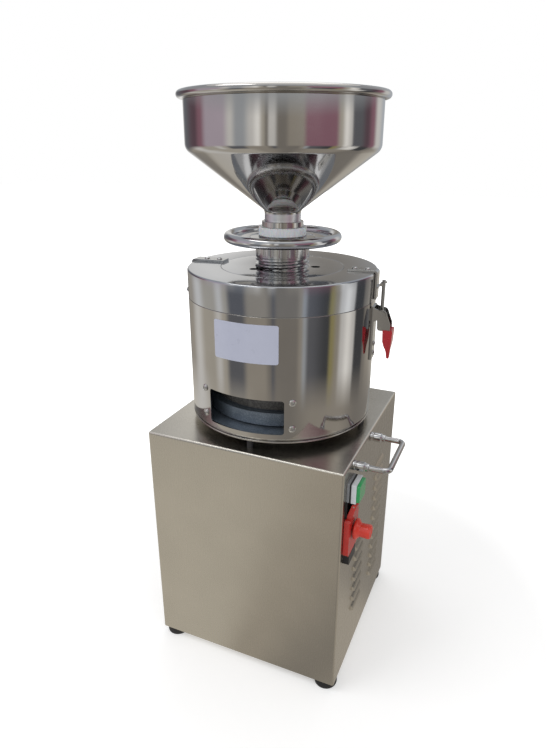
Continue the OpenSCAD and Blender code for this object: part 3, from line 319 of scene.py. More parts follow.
FINISHES: dict[str, Finish] = {
    "satin_sheet": Steel((0.60, 0.57, 0.51), (0.24, 0.31), Grain.UPRIGHT, 1600.0, 0.03, 0.03),
    "polished_sheet": Steel((0.48, 0.465, 0.445), (0.045, 0.10), Grain.ROUND, 1300.0, 0.03, 0.05,
                            0.5),
    "satin_lid": Steel((0.47, 0.48, 0.50), (0.07, 0.13), Grain.ROUND, 1500.0, 0.03, 0.04),
    "neck_steel": Steel((0.62, 0.63, 0.65), (0.30, 0.42), Grain.LEVEL, 2400.0, 0.2, 0.05),
    "screw_steel": Steel((0.55, 0.55, 0.545), (0.14, 0.26)),
    "strap_steel": Steel((0.44, 0.44, 0.435), (0.12, 0.24), Grain.LEVEL, 1800.0, 0.1),
    "chrome_plate": Steel((0.52, 0.52, 0.525), (0.03, 0.07), Grain.NONE, 900.0, 0.015, 0.03),
    "turned_steel": Steel((0.48, 0.48, 0.475), (0.12, 0.22), Grain.ROUND, 2600.0, 0.10),
    "dark_steel": Steel((0.30, 0.30, 0.31), (0.32, 0.45)),
    "copper_winding": Steel((0.62, 0.30, 0.14), (0.3, 0.45), Grain.ROUND, 900.0, 0.3),
    "cast_housing": Cast((0.20, 0.22, 0.23), (0.27, 0.29, 0.30)),
    "cast_aluminium": Cast((0.12, 0.15, 0.19), (0.26, 0.31, 0.37), 0.6, (0.34, 0.5), 0.12),
    # grinding stones: a dark stone colour made nearly black, as painted shade for the dim inside of
    # the drum
    "grinding_stone": Cast((0.06, 0.058, 0.056), (0.15, 0.145, 0.135), 0.0, (0.7, 0.9), 0.6, 420.0),
    "bronze_ring": Steel((0.66, 0.46, 0.22), (0.22, 0.32), Grain.ROUND, 2000.0),
    "black_rubber": Moulded((0.018, 0.018, 0.020), (0.45, 0.62), 0.2),
    "seal_rubber": Moulded((0.03, 0.03, 0.033), (0.5, 0.65), 0.2),
    "black_plastic": Moulded((0.016, 0.016, 0.019), (0.30, 0.42), 0.2),
    "grey_plastic": Moulded((0.24, 0.25, 0.265), (0.34, 0.46), 0.15),
    "pale_plastic": Moulded((0.66, 0.69, 0.72), (0.26, 0.38), 0.1),
    "red_plastic": Moulded((0.50, 0.026, 0.020), (0.22, 0.34), 0.1, 1400.0, 0.25),
    "knob_red": Moulded((0.62, 0.040, 0.024), (0.22, 0.34), 0.1, 1400.0, 0.25),
    "red_grip": Moulded((0.46, 0.014, 0.024), (0.2, 0.3), 0.1, 1400.0, 0.3),
    "green_plastic": Moulded((0.02, 0.34, 0.10), (0.14, 0.24), 0.06, 1400.0, 0.5),
    "white_nylon": Moulded((0.80, 0.82, 0.86), (0.32, 0.44), 0.08, 900.0, 0.0, 0.15),
    "plate_blue": Moulded((0.47, 0.49, 0.60), (0.26, 0.34), 0.05, 2200.0, vary=0.02),
}


class Palette:
    """Makes each finish's material once and hands it out."""

    def __init__(self) -> None:
        """Start with no material made."""
        self.made: dict[str, bpy.types.Material] = {}

    def get(self, slot: str) -> bpy.types.Material:
        """Return the material of a finish, made the first time it is asked for.

        Args:
            slot: the finish's name.

        Returns:
            The material.
        """
        if slot not in self.made:
            graph = Graph(bpy.data.materials.new(slot))
            FINISHES[slot].make(graph)
            self.made[slot] = graph.owner
        return self.made[slot]


# ---------------------------------------------------------------- mesh tools

NEARLY_STRAIGHT = 89.0  # degrees of half a corner's angle from which it isn't rounded
MOST_OF_SIDE = 0.49  # share of a side that the rounding of one corner may take
DOUBLED = 1e-7  # metres within which two points are one
WELDED = 1e-6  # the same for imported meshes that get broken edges
PAST = 12.0  # how far a hole's cutter reaches past the piece


def corner(before: Vector, at: Vector, after: Vector, radius: float, steps: int) -> list[Point]:
    """Round one corner of an outline.

    Args:
        before: the point before the corner.
        at: the corner.
        after: the point after it.
        radius: the corner's radius.
        steps: pieces of the arc.

    Returns:
        The points that stand for the corner.
    """
    one = (before - at).normalized()
    two = (after - at).normalized()
    half = 0.5 * one.angle(two)
    if radius <= 0.0 or half > math.radians(NEARLY_STRAIGHT):
        return [(at.x, at.y)]
    reach = radius / math.tan(half)
    reach = min(reach, MOST_OF_SIDE * (before - at).length, MOST_OF_SIDE * (after - at).length)
    radius = reach * math.tan(half)
    centre = at + (one + two).normalized() * (radius / math.sin(half))
    start = at + one * reach - centre
    end = at + two * reach - centre
    sweep = math.atan2(start.x * end.y - start.y * end.x, start.dot(end))
    points = []
    for step in range(steps + 1):
        turn = Matrix.Rotation(sweep * step / steps, 2)
        spot = centre + turn @ start
        points.append((spot.x, spot.y))
    return points


def rounded(outline: Sequence[Place], steps: int = 5) -> list[Point]:
    """Round the corners of a closed outline.

    Args:
        outline: each corner's place and radius.
        steps: pieces of each arc.

    Returns:
        The rounded outline.
    """
    count = len(outline)
    spots = [Vector((x, y)) for x, y, _ in outline]
    points: list[Point] = []
    for index, (_, _, radius) in enumerate(outline):
        points += corner(spots[index - 1], spots[index], spots[(index + 1) % count], radius, steps)
    return points


def arc(centre: Point, radius: float, start: float, end: float, count: int) -> list[Point]:
    """Return points along an arc, whose angles are in degrees."""
    return [(centre[0] + radius * math.cos(angle), centre[1] + radius * math.sin(angle))
            for angle in np.radians(np.linspace(start, end, count))]


def grid(rows: int, columns: int, ring: bool = True, closed: bool = True) -> list[tuple[int, ...]]:
    """Join rows of points by faces.

    Args:
        rows: how many rows there are.
        columns: how many points each row has.
        ring: whether the last row joins the first.
        closed: whether the last point of a row joins its first.

    Returns:
        The faces, as numbers of their points.
    """
    faces = []
    for row in range(rows if ring else rows - 1):
        near, far = row * columns, (row + 1) % rows * columns
        for column in range(columns if closed else columns - 1):
            following = (column + 1) % columns
            faces.append((near + column, far + column, far + following, near + following))
    return faces


def placed(name: str, data: bpy.types.ID) -> bpy.types.Object:
    """Put an object with a mesh, lamp or camera into the scene and return it."""
    item = bpy.data.objects.new(name, data)
    bpy.context.scene.collection.objects.link(item)
    return item


def smooth(mesh: bpy.types.Mesh, sharp: float = SHARP) -> bpy.types.Mesh:
    """Smooth a mesh but for the edges from an angle in degrees, and return it."""
    mesh.shade_smooth()
    mesh.set_sharp_from_angle(angle=math.radians(sharp))
    return mesh


def tidy(mesh: bpy.types.Mesh, sharp: float = SHARP) -> bpy.types.Mesh:
    """Merge doubled points, turn the faces outwards and smooth the mesh.

    Args:
        mesh: the mesh.
        sharp: the angle in degrees from which an edge is sharp.

    Returns:
        The same mesh.
    """
    work = bmesh.new()
    work.from_mesh(mesh)
    bmesh.ops.remove_doubles(work, verts=work.verts, dist=DOUBLED)
    bmesh.ops.recalc_face_normals(work, faces=work.faces)
    work.to_mesh(mesh)
    work.free()
    return smooth(mesh, sharp)


def mesh_from(name: str, points: Iterable[Sequence[float]], faces: Iterable[Sequence[int]],
              sharp: float = SHARP) -> bpy.types.Mesh:
    """Make a smooth mesh whose sharp edges stay sharp.

    Args:
        name: the mesh's name.
        points: corners in millimetres.
        faces: the corners of each face.
        sharp: the angle in degrees from which an edge is sharp.

    Returns:
        The mesh, in metres.
    """
    mesh = bpy.data.meshes.new(name)
    mesh.from_pydata([tuple(part * MM for part in point) for point in points], [],
                     [tuple(face) for face in faces])
    return tidy(mesh, sharp)


def revolve(name: str, outline: Sequence[Point], segments: int = 160, sharp: float = SHARP,
            closed: bool = True) -> bpy.types.Mesh:
    """Turn an outline round the upright axis.

    Args:
        name: the mesh's name.
        outline: radius and height of each point.
        segments: pieces round the circle.
        sharp: the angle in degrees from which an edge is sharp.
        closed: whether the outline's last point joins its first.

    Returns:
        The mesh.
    """
    turns = np.linspace(0.0, 2.0 * math.pi, segments, endpoint=False)
    points = [(r * math.cos(a), r * math.sin(a), z) for a in turns for r, z in outline]
    return mesh_from(name, points, grid(segments, len(outline), closed=closed), sharp)


def sweep(name: str, path: Sequence[Vector], radius: float, sides: int = 24) -> bpy.types.Mesh:
    """Draw a round rod along a path.

    Args:
        name: the mesh's name.
        path: points along the rod's centre.
        radius: the rod's radius.
        sides: pieces round the rod.

    Returns:
        The mesh, with closed ends.
    """
    points: list[Vector] = []
    tangents = [(path[min(i + 1, len(path) - 1)] - path[max(i - 1, 0)]).normalized()
                for i in range(len(path))]
    normal = tangents[0].orthogonal().normalized()
    for spot, tangent in zip(path, tangents):
        normal = (normal - tangent * normal.dot(tangent)).normalized()
        side = tangent.cross(normal)
        for step in range(sides):
            angle = 2.0 * math.pi * step / sides
            points.append(spot + (normal * math.cos(angle) + side * math.sin(angle)) * radius)
    last = (len(path) - 1) * sides
    faces = [*grid(len(path), sides, ring=False), range(sides), range(last, last + sides)]
    return mesh_from(name, points, faces)


def extrude(name: str, outline: Sequence[Point], low: float, high: float) -> bpy.types.Mesh:
    """Give an outline in X and Y a height.

    Args:
        name: the mesh's name.
        outline: the outline's points.
        low: the lower level.
        high: the upper level.

    Returns:
        The mesh.
    """
    count = len(outline)
    points = [(x, y, z) for z in (low, high) for x, y in outline]
    faces: list[Sequence[int]] = [range(count), range(count, 2 * count)]
    faces += [(i, (i + 1) % count, count + (i + 1) % count, count + i) for i in range(count)]
    return mesh_from(name, points, faces)


def cut(target: bpy.types.Mesh, cutters: Sequence[bpy.types.Mesh]) -> bpy.types.Mesh:
    """Take the form of other meshes out of a mesh.

    Args:
        target: the mesh to cut.
        cutters: closed meshes.

    Returns:
        The cut mesh.
    """
    body = placed("cut_body", target)
    tools = []
    for cutter in cutters:
        tool = placed("cut_tool", cutter)
        tools.append(tool)
        step = body.modifiers.new("cut", "BOOLEAN")
        step.object = tool
        step.operation = "DIFFERENCE"
        step.solver = "EXACT"
    graph = bpy.context.evaluated_depsgraph_get()
    result = bpy.data.meshes.new_from_object(body.evaluated_get(graph))
    result.name = target.name
    for thing in [body, *tools]:
        bpy.data.objects.remove(thing)
    return tidy(result)


def copies(name: str, mesh: bpy.types.Mesh, places: Sequence[Matrix]) -> bpy.types.Mesh:
    """Join copies of a mesh into one.

    Args:
        name: the new mesh's name.
        mesh: the mesh to copy.
        places: where each copy goes, in millimetres.

    Returns:
        The joined mesh.
    """
    work = bmesh.new()
    for place in places:
        single = mesh.copy()
        metres = place.copy()
        metres.translation = place.translation * MM
        single.transform(metres)
        work.from_mesh(single)
        bpy.data.meshes.remove(single)
    joined = bpy.data.meshes.new(name)
    work.to_mesh(joined)
    work.free()
    return smooth(joined)


def turned(degrees: float, axis: str = "Z") -> Matrix:
    """Return a turn about an axis as a 4 by 4 matrix."""
    return Matrix.Rotation(math.radians(degrees), 4, axis)


def shifted(x: float, y: float, z: float) -> Matrix:
    """Return a shift as a 4 by 4 matrix."""
    return Matrix.Translation(Vector((x, y, z)))


# ---------------------------------------------------------------- workshop


@dataclass
class Workshop:
    """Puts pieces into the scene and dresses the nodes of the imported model."""

    nodes: dict[str, bpy.types.Object]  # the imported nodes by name
    palette: Palette = field(default_factory=Palette)  # the materials
    dressed: set[str] = field(default_factory=set)  # names of the nodes that have their material

    def dress(self, node: str, slot: str, bevel: float = 0.0) -> None:
        """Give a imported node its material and, if asked, broken edges.

        Args:
            node: the node's name.
            slot: the finish.
            bevel: width of the broken edges.
        """
        item = self.nodes[node]
        if not item.material_slots:
            item.data.materials.append(None)
        for place in item.material_slots:
            place.material = self.palette.get(slot)
        if bevel > 0.0:
            weld = item.modifiers.new("weld", "WELD")
            weld.merge_threshold = WELDED
            edge = item.modifiers.new("edge", "BEVEL")
            edge.width = bevel * MM
            edge.segments = EDGE_STEPS
            edge.limit_method = "ANGLE"
            edge.angle_limit = math.radians(BROKEN)
            edge.harden_normals = True
            item.modifiers.new("normals", "WEIGHTED_NORMAL").keep_sharp = True
        self.dressed.add(node)
        log.info("dressed %s", node)

    def add_part(self, item: bpy.types.Object, finish: str, low: float, high: float) -> None:
        """Give the faces between two levels another finish.

        Args:
            item: the piece.
            finish: the other finish.
            low: the lower level.
            high: the upper level.
        """
        item.data.materials.append(self.palette.get(finish))
        for face in item.data.polygons:
            if low * MM < face.center.z < high * MM:
                face.material_index = len(item.data.materials) - 1

    def add(self, mesh: bpy.types.Mesh, body: str, slot: str, *stands_for: str,
            finish: str = "") -> bpy.types.Object:
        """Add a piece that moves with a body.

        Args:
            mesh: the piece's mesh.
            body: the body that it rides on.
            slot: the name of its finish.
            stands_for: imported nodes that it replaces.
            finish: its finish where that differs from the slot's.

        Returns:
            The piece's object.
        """
        item = placed(mesh.name, mesh)
        mesh.materials.clear()
        mesh.materials.append(self.palette.get(finish or slot))
        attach(item, body)
        if stands_for:
            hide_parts(*stands_for)
            self.dressed.update(stands_for)
        log.info("made %s", mesh.name)
        return item


@dataclass(frozen=True)
class PanHead:
    """A pan-head screw with a cross recess, pointing along +Z from its seat."""

    radius: float = 3.8  # the head's radius
    height: float = 2.2  # the head's height
    shank: float = 2.0  # the shank's radius
    length: float = 3.0  # the shank's length
    dome: float = 1.6  # radius of the dome, in head radii
    shoulder: float = 0.97  # radius at which the dome starts, in head radii
    flat: float = 0.7  # height of the head's straight side, as a share of the dome's edge
    arm: Point = (0.58, 0.13)  # half the length and half the width of the recess, in head radii
    recess: float = 0.42  # level of the recess's floor, in head heights

    def mesh(self) -> bpy.types.Mesh:
        """Build the screw.

        Returns:
            The mesh.
        """
        dome, steps = self.dome * self.radius, 8
        base = self.height - dome
        rim = base + math.sqrt(dome * dome - self.radius * self.radius)
        outline = [(0.0, -self.length), (self.shank, -self.length), (self.shank, 0.0),
                   (self.radius, 0.0), (self.radius, rim * self.flat)]
        for step in range(steps + 1):
            r = self.radius * (1.0 - step / steps) * self.shoulder
            outline.append((r, base + math.sqrt(dome * dome - r * r)))
        arm, width = (part * self.radius for part in self.arm)
        bar = [(-arm, -width), (arm, -width), (arm, width), (-arm, width)]
        cross = []
        for turn in (0.0, 90.0):
            cutter = extrude("arm", bar, self.height * self.recess, self.height * 2.0)
            cutter.transform(turned(turn))
            cross.append(cutter)
        return cut(revolve("screw", outline, 32), cross)


# ---------------------------------------------------------------- studio


class Tone(Enum):
    """Tones of the screens that the polished steel picks up."""

    INK = (0.085, 0.088, 0.095)
    SLATE = (0.17, 0.175, 0.195)
    STONE = (0.29, 0.27, 0.245)
    TAUPE = (0.43, 0.395, 0.345)
    SAND = (0.60, 0.565, 0.50)
    STRAW = (0.40, 0.355, 0.17)
    PLUM = (0.16, 0.105, 0.13)
    MAUVE = (0.36, 0.19, 0.245)
    LILAC = (0.62, 0.54, 0.63)
    SKY = (0.50, 0.53, 0.57)
    SILVER = (0.86, 0.85, 0.83)
    WHITE = (1.20, 1.19, 1.16)


Band = tuple[float, Tone]


@dataclass(frozen=True)
class Screens:
    """A ring of plain screens that only mirror reflections see."""

    radius: float = 950.0  # the ring's radius
    height: float = 1750.0  # the ring's height
    inner: float = 20.0  # radius at which the screen on the floor starts
    # how far the floor's screen bends up into the ring, outwards and upwards
    cove: Point = (60.0, 70.0)
    lift: float = 2.0  # level of the floor's screen
    steps: int = 96  # pieces round the ring
    low: tuple[Band, ...] = (  # bands that the drum and the lid mirror, by their angle from +X
        (-180, Tone.SILVER), (-165, Tone.SAND), (-152, Tone.SAND), (-142, Tone.SILVER),
        (-134, Tone.SAND), (-126, Tone.SLATE), (-112, Tone.SLATE), (-104, Tone.TAUPE),
        (-86, Tone.TAUPE), (-80, Tone.STONE), (-77, Tone.SLATE), (-72, Tone.STONE),
        (-52, Tone.STONE), (-47, Tone.TAUPE), (-43, Tone.SKY), (-38, Tone.SLATE),
        (-16, Tone.INK), (-11, Tone.STRAW), (-3, Tone.TAUPE), (3, Tone.SILVER),
        (12, Tone.WHITE), (21, Tone.SILVER), (25, Tone.INK), (38, Tone.INK), (44, Tone.STONE),
        (56, Tone.TAUPE), (84, Tone.SAND), (104, Tone.SLATE), (122, Tone.SAND),
        (140, Tone.STONE), (158, Tone.TAUPE))
    high: tuple[Band, ...] = (  # bands that the hopper mirrors
        (-180, Tone.PLUM), (-168, Tone.MAUVE), (-156, Tone.LILAC), (-134, Tone.LILAC),
        (-124, Tone.SILVER), (-116, Tone.SKY), (-110, Tone.SKY), (-100, Tone.SILVER),
        (-93, Tone.WHITE), (-88, Tone.SAND), (-84, Tone.STONE), (-81, Tone.SILVER),
        (-77, Tone.SILVER), (-72, Tone.STONE), (-66, Tone.STONE), (-60, Tone.TAUPE),
        (-48, Tone.TAUPE), (-42, Tone.MAUVE), (-12, Tone.MAUVE), (-5, Tone.SAND),
        (2, Tone.WHITE), (8, Tone.SILVER), (12, Tone.SLATE), (22, Tone.SLATE), (34, Tone.PLUM),
        (46, Tone.MAUVE), (58, Tone.SILVER), (80, Tone.SKY), (104, Tone.STONE),
        (126, Tone.SILVER), (152, Tone.SLATE))
    ground: tuple[Band, ...] = (  # bands of the screen on the floor
        (-180, Tone.SILVER), (-150, Tone.SAND), (-128, Tone.SAND), (-112, Tone.SAND),
        (-92, Tone.TAUPE), (-60, Tone.STONE), (-30, Tone.TAUPE), (4, Tone.TAUPE), (36, Tone.STONE),
        (110, Tone.STONE), (140, Tone.SAND))
    above: Tone = Tone.SKY  # tone of the screens' upper part, which level faces mirror
    above_share: float = 0.85  # how much of that tone shows
    to_low: Point = (20.0, 170.0)  # levels between which the floor's bands pass into the low ones
    to_high: Point = (430.0, 620.0)  # levels between which the low bands pass into the high ones
    to_above: Point = (930.0, 1090.0)  # levels between which these pass into the tone above

    def ramp(self, graph: Graph, share: Socket, bands: Sequence[Band]) -> Socket:
        """Lay a row of bands round the ring.

        Args:
            graph: the screens' material.
            share: where a point is round the ring, from 0 at -180 degrees to 1 at 180 degrees.
            bands: the angle and tone of each band.

        Returns:
            The socket with the tone.
        """
        ramp = graph.add("ValToRGB", {0: share})
        colours = ramp.color_ramp
        colours.interpolation = "EASE"
        for index, (degrees, tone) in enumerate([*bands, (180.0, bands[0][1])]):
            spot = (degrees + 180.0) / 360.0
            stop = colours.elements[index] if index < 2 else colours.elements.new(spot)
            stop.position = spot
            stop.color = (*tone.value, 1.0)
        return ramp.outputs[0]

    def cloth(self, graph: Graph) -> None:
        """Build the screens' material, which only shines.

        Args:
            graph: the material's nodes.
        """
        x, y, level = graph.add("SeparateXYZ", {0: graph.place()}).outputs
        share = graph.spread(graph.maths("ARCTAN2", y, x), 0.0, 1.0, -math.pi, math.pi)
        ground, tone, high = (self.ramp(graph, share, bands)
                              for bands in (self.ground, self.low, self.high))
        for above, part, limits in ((high, 1.0, self.to_high),
                                    (self.above.value, self.above_share, self.to_above)):
            start, end = (limit * MM for limit in limits)
            tone = graph.blend(tone, above, graph.spread(level, 0.0, part, start, end))
        start, end = (limit * MM for limit in self.to_low)
        tone = graph.blend(ground, tone, graph.spread(level, 0.0, 1.0, start, end))
        graph.feed(graph.shader, {"Emission Color": tone, "Emission Strength": 1.0,
                                  "Base Color": BLACK, "Specular IOR Level": 0.0})
        graph.owner.cycles.emission_sampling = "NONE"

    def build(self) -> None:
        """Set up the ring."""
        out, up = self.cove
        outline = [(self.inner, self.lift), (self.radius - out, self.lift), (self.radius, up),
                   (self.radius, self.height)]
        mesh = revolve("screens", outline, self.steps, 80.0, closed=False)
        item = placed("screens", mesh)
        for kind in ("camera", "diffuse", "transmission", "volume_scatter", "shadow"):
            setattr(item, "visible_" + kind, False)
        graph = Graph(bpy.data.materials.new("screen_cloth"))
        self.cloth(graph)
        mesh.materials.append(graph.owner)


@dataclass(frozen=True)
class Lamp:
    """A soft square lamp."""

    spot: Place  # its place
    aim: float  # level of the point on the grinding axis that it faces
    size: float  # length of its side
    power: float  # its power in watts

    def hang(self, name: str) -> None:
        """Put the lamp into the scene.

        Args:
            name: the lamp's name.
        """
        data = bpy.data.lights.new(name, "AREA")
        data.shape = "SQUARE"
        data.size = self.size * MM
        data.energy = self.power
        item = placed(name, data)
        item.location = Vector(self.spot) * MM
        away = item.location - Vector((0.0, 0.0, self.aim)) * MM
        item.rotation_euler = away.to_track_quat("Z", "Y").to_euler()


LAMPS = {"key": Lamp((-900, -900, 1900), 400, 1100, 11.0),
         "fill": Lamp((1500, -1300, 1100), 350, 1000, 6.0),
         "top": Lamp((-300, 700, 2300), 300, 1400, 7.0)}


@dataclass(frozen=True)
class Studio:
    """Floor, lamps, surroundings and camera."""

    eye: tuple[float, float, float] = (325.8, -777.9, 775.2)  # the camera's place
    heading: float = 23.57  # how far it is turned to the left of +Y, in degrees
    dip: float = 21.65  # how far it looks down, in degrees
    roll: float = 0.12  # its roll, in degrees
    focal: float = 586.1  # its focal length in pixels of the photograph's frame
    frame_h: float = 749.0  # the height of that frame in pixels
    sensor: float = 36.0  # height of the camera's sensor
    ambient: float = 0.62  # the world's light on matt surfaces
    floor_half: float = 9000.0  # half the side of the floor
    floor_lift: float = 0.34  # the floor's own light where it is seen
    # distances from the axis between which the floor turns plain white
    clearing: Point = (450.0, 1000.0)
    paint: Point = (0.80, 0.83)  # the floor's darkest and lightest grey

    def camera(self) -> None:
        """Place the camera at the photograph's view."""
        data = bpy.data.cameras.new("camera")
        data.sensor_fit = "VERTICAL"
        data.sensor_height = self.sensor
        data.lens = self.sensor * self.focal / self.frame_h
        data.clip_start = 0.01
        item = placed("camera", data)
        item.matrix_world = (shifted(*(part * MM for part in self.eye)) @ turned(self.heading)
                             @ turned(90.0 - self.dip, "X") @ turned(self.roll))
        bpy.context.scene.camera = item

    def floor(self) -> None:
        """Lay a pale floor that keeps the object's shadow and turns white further out."""
        half = self.floor_half
        corners = [(-half, -half, 0), (half, -half, 0), (half, half, 0), (-half, half, 0)]
        mesh = mesh_from("floor", corners, [(0, 1, 2, 3)])
        item = placed("floor", mesh)
        graph = Graph(bpy.data.materials.new("floor_paint"))
        dark, pale = ((grey, grey, grey) for grey in self.paint)
        away = graph.add("VectorMath", {0: graph.place()}, operation="LENGTH").outputs["Value"]
        clear = graph.spread(away, self.floor_lift, 1.0, *(limit * MM for limit in self.clearing))
        graph.feed(graph.shader, {
            "Base Color": graph.blend(dark, pale, graph.noise(graph.place(), 3.0)),
            "Roughness": 0.9, "Specular IOR Level": 0.0, "Emission Color": WHITE,
            "Emission Strength": graph.maths("MULTIPLY", graph.seen(), clear)})
        mesh.materials.append(graph.owner)

    def surroundings(self) -> None:
        """Set a white background and a level, even light."""
        world = bpy.data.worlds.new("studio")
        bpy.context.scene.world = world
        graph = Graph(world, "OutputWorld", "Background")
        strength = graph.spread(graph.seen(), self.ambient, 1.0, 0.0, 1.0)
        graph.feed(graph.shader, {"Color": WHITE, "Strength": strength})

    def build(self) -> None:
        """Set up the whole studio."""
        bpy.context.scene.view_settings.view_transform = "Standard"
        self.camera()
        self.floor()
        self.surroundings()
        for name, lamp in LAMPS.items():
            lamp.hang(name)
        Screens().build()


# ---------------------------------------------------------------- sub-assemblies


@dataclass(frozen=True)
class Assembly:
    """A sub-assembly of the machine."""

    shop: Workshop  # where its pieces go
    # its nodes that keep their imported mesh, by finish, with the width of their broken edges
    looks: ClassVar[dict[str, dict[str, float]]] = {}

    def dress(self) -> None:
        """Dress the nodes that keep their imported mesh."""
        for slot, nodes in self.looks.items():
            for node, bevel in nodes.items():
                self.shop.dress(node, slot, bevel)

    def fit(self, name: str, screw: PanHead, places: Sequence[Matrix], body: str,
            node: str) -> None:
        """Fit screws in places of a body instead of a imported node."""
        self.shop.add(copies(name, screw.mesh(), places), body, "screw_steel", node)

    def build(self) -> None:
        """Dress and build the sub-assembly."""
        self.dress()


@dataclass(frozen=True)
class Cabinet(Assembly):
    """Sheet-metal cabinet with its feet, rear panel and cable gland."""

    looks = {"satin_sheet": {"cabinet_shell": 0.0, "rear_panel": 0.3, "base_tray": 0.0},
             "black_plastic": {"cable_gland": 0.4}}
    foot_radius: float = 17.5  # radius of a foot
    foot_height: float = 13.0  # height of a foot
    foot_spots: Point = (132.5, 130.5)  # the feet's distances from the axis in X and Y
    foot_bore: float = 3.0  # radius of the hole in a foot
    foot_recess: Point = (7.0, 4.0)  # radius and depth of the recess under a foot
    panel_face: float = 149.5  # the rear panel's place in Y
    screw_side: float = 139.0  # distance of the panel's screws from the middle
    screw_levels: Place = (24.0, 196.5, 369.0)  # levels of the panel's screws

    def feet(self) -> None:
        """Turn the rubber feet."""
        r, h, bore = self.foot_radius, self.foot_height, self.foot_bore
        wide, deep = self.foot_recess
        outline = rounded([(bore, h, 0.0), (bore, deep, 0.3), (wide, deep, 0.5), (wide, 0.0, 0.6),
                           (r - 0.5, 0.0, 1.2), (r, 3.5, 1.5), (r - 1.6, h - 1.5, 0.8),
                           (r - 2.5, h, 0.4)])
        foot = revolve("foot", outline, 64)
        places = [shifted(x * self.foot_spots[0], y * self.foot_spots[1], 0.0)
                  for x in (-1, 1) for y in (-1, 1)]
        self.shop.add(copies("rubber_feet", foot, places), "frame", "black_rubber", "feet")

    def build(self) -> None:
        """Dress the cabinet, turn its feet and fit the rear panel's screws."""
        self.dress()
        self.feet()
        places = [shifted(x, self.panel_face, z) @ turned(-90.0, "X")
                  for x in (-self.screw_side, self.screw_side) for z in self.screw_levels]
        self.fit("rear_panel_screws", PanHead(), places, "frame", "rear_screws")


@dataclass(frozen=True)
class SideHandle(Assembly):
    """Bent chrome rod with a ferrule at each leg."""

    wall: float = 150.0  # the wall's place in X
    sunk: float = 5.0  # how far the rod goes into the wall
    reach: float = 48.0  # distance of the bar from the wall
    middle: float = -61.0  # the handle's middle in Y
    span: float = 90.0  # distance between the legs
    level: float = 373.0  # height of the rod
    rod: float = 4.0  # radius of the rod
    bend: float = 8.0  # radius of the rod's bends
    steps: int = 8  # points along a leg
    ferrule: float = 7.0  # radius of a ferrule
    ferrule_length: float = 22.0  # length of a ferrule

    def build(self) -> None:
        """Bend the rod and turn the ferrules."""
        start, end, bend = self.wall - self.sunk, self.wall + self.reach - self.bend, self.bend
        low, high = self.middle - self.span / 2, self.middle + self.span / 2
        line = [(x, low) for x in np.linspace(start, end, self.steps)]
        line += arc((end, low + bend), bend, -90.0, 0.0, 11)[1:]
        line += arc((end, high - bend), bend, 0.0, 90.0, 11)
        line += [(x, high) for x in np.linspace(end, start, self.steps)[1:]]
        rod = sweep("handle_rod", [Vector((x, y, self.level)) for x, y in line], self.rod, 32)
        self.shop.add(rod, "frame", "chrome_plate", "side_handle")
        r, n = self.ferrule, self.ferrule_length
        outline = rounded([(self.rod, 0.0, 0.0), (r, 0.0, 0.4), (r, 3.0, 0.6),
                           (r - 0.7, 3.6, 0.3), (r - 0.7, 5.0, 0.3), (r - 0.2, 5.8, 0.5),
                           (r - 0.2, n - 7.0, 1.0), (r - 1.4, n - 4.5, 0.8), (r - 1.5, n, 0.7),
                           (self.rod, n, 0.0)])
        places = [shifted(self.wall, y, self.level) @ turned(90.0, "Y") for y in (low, high)]
        ferrules = copies("ferrules", revolve("ferrule", outline, 48), places)
        self.shop.add(ferrules, "frame", "chrome_plate", "handle_ferrules")


@dataclass(frozen=True)
class Switch(Assembly):
    """Start and stop switch with its flap and mushroom knob."""

    looks = {"black_plastic": {"switch_base": 0.5}, "grey_plastic": {"switch_plate": 0.5},
             "black_rubber": {"switch_gasket": 0.2}, "pale_plastic": {"switch_housing": 0.8},
             "green_plastic": {"start_button": 0.8},
             "red_plastic": {"stop_button": 0.6, "stop_flap": 0.9},
             "screw_steel": {"flap_pin": 0.0}}
    wall: float = 150.0  # the wall's place in X
    middle: float = -117.0  # the switch's middle in Y
    knob_level: float = 281.0  # height of the stop knob
    knob_foot: float = 7.0  # radius of the knob's foot, which pushes the stop button
    knob_stem: float = 5.0  # radius of the knob's stem
    knob_flange: float = 14.8  # radius of the knob's flange
    knob_grip: float = 10.2  # radius of the knob's grip
    foot_out: Point = (3.5, 4.9)  # where the foot starts and ends, from the wall
    flange_out: Point = (10.4, 16.0)  # where the flange starts and ends, from the wall
    knob_out: float = 33.0  # how far the knob stands out of the wall

    def build(self) -> None:
        """Dress the switch and turn its mushroom knob."""
        self.dress()
        foot, stem, flange, grip = self.knob_foot, self.knob_stem, self.knob_flange, self.knob_grip
        (foot_in, foot_end), (back, front), out = self.foot_out, self.flange_out, self.knob_out
        outline = rounded([(0.0, foot_in, 0.0), (foot, foot_in, 0.2), (foot, foot_end, 0.2),
                           (stem, foot_end, 0.0), (stem, back, 0.0), (flange - 1.4, back, 0.5),
                           (flange, back + 1.2, 1.0), (flange, front - 2.0, 1.0),
                           (flange - 2.0, front, 0.8), (grip + 1.6, front + 0.3, 0.8),
                           (grip - 0.5, front + 2.6, 1.5), (grip, out - 2.4, 1.0),
                           (grip - 0.9, out, 1.4), (grip - 3.2, out, 0.6),
                           (grip - 4.2, out - 0.7, 0.5), (0.0, out - 0.7, 0.0)])
        knob = revolve("stop_knob_turned", outline, 72)
        knob.transform(shifted(self.wall * MM, self.middle * MM, self.knob_level * MM)
                       @ turned(90.0, "Y"))
        self.shop.add(knob, "stop_knob", "red_plastic", "stop_knob", finish="knob_red")


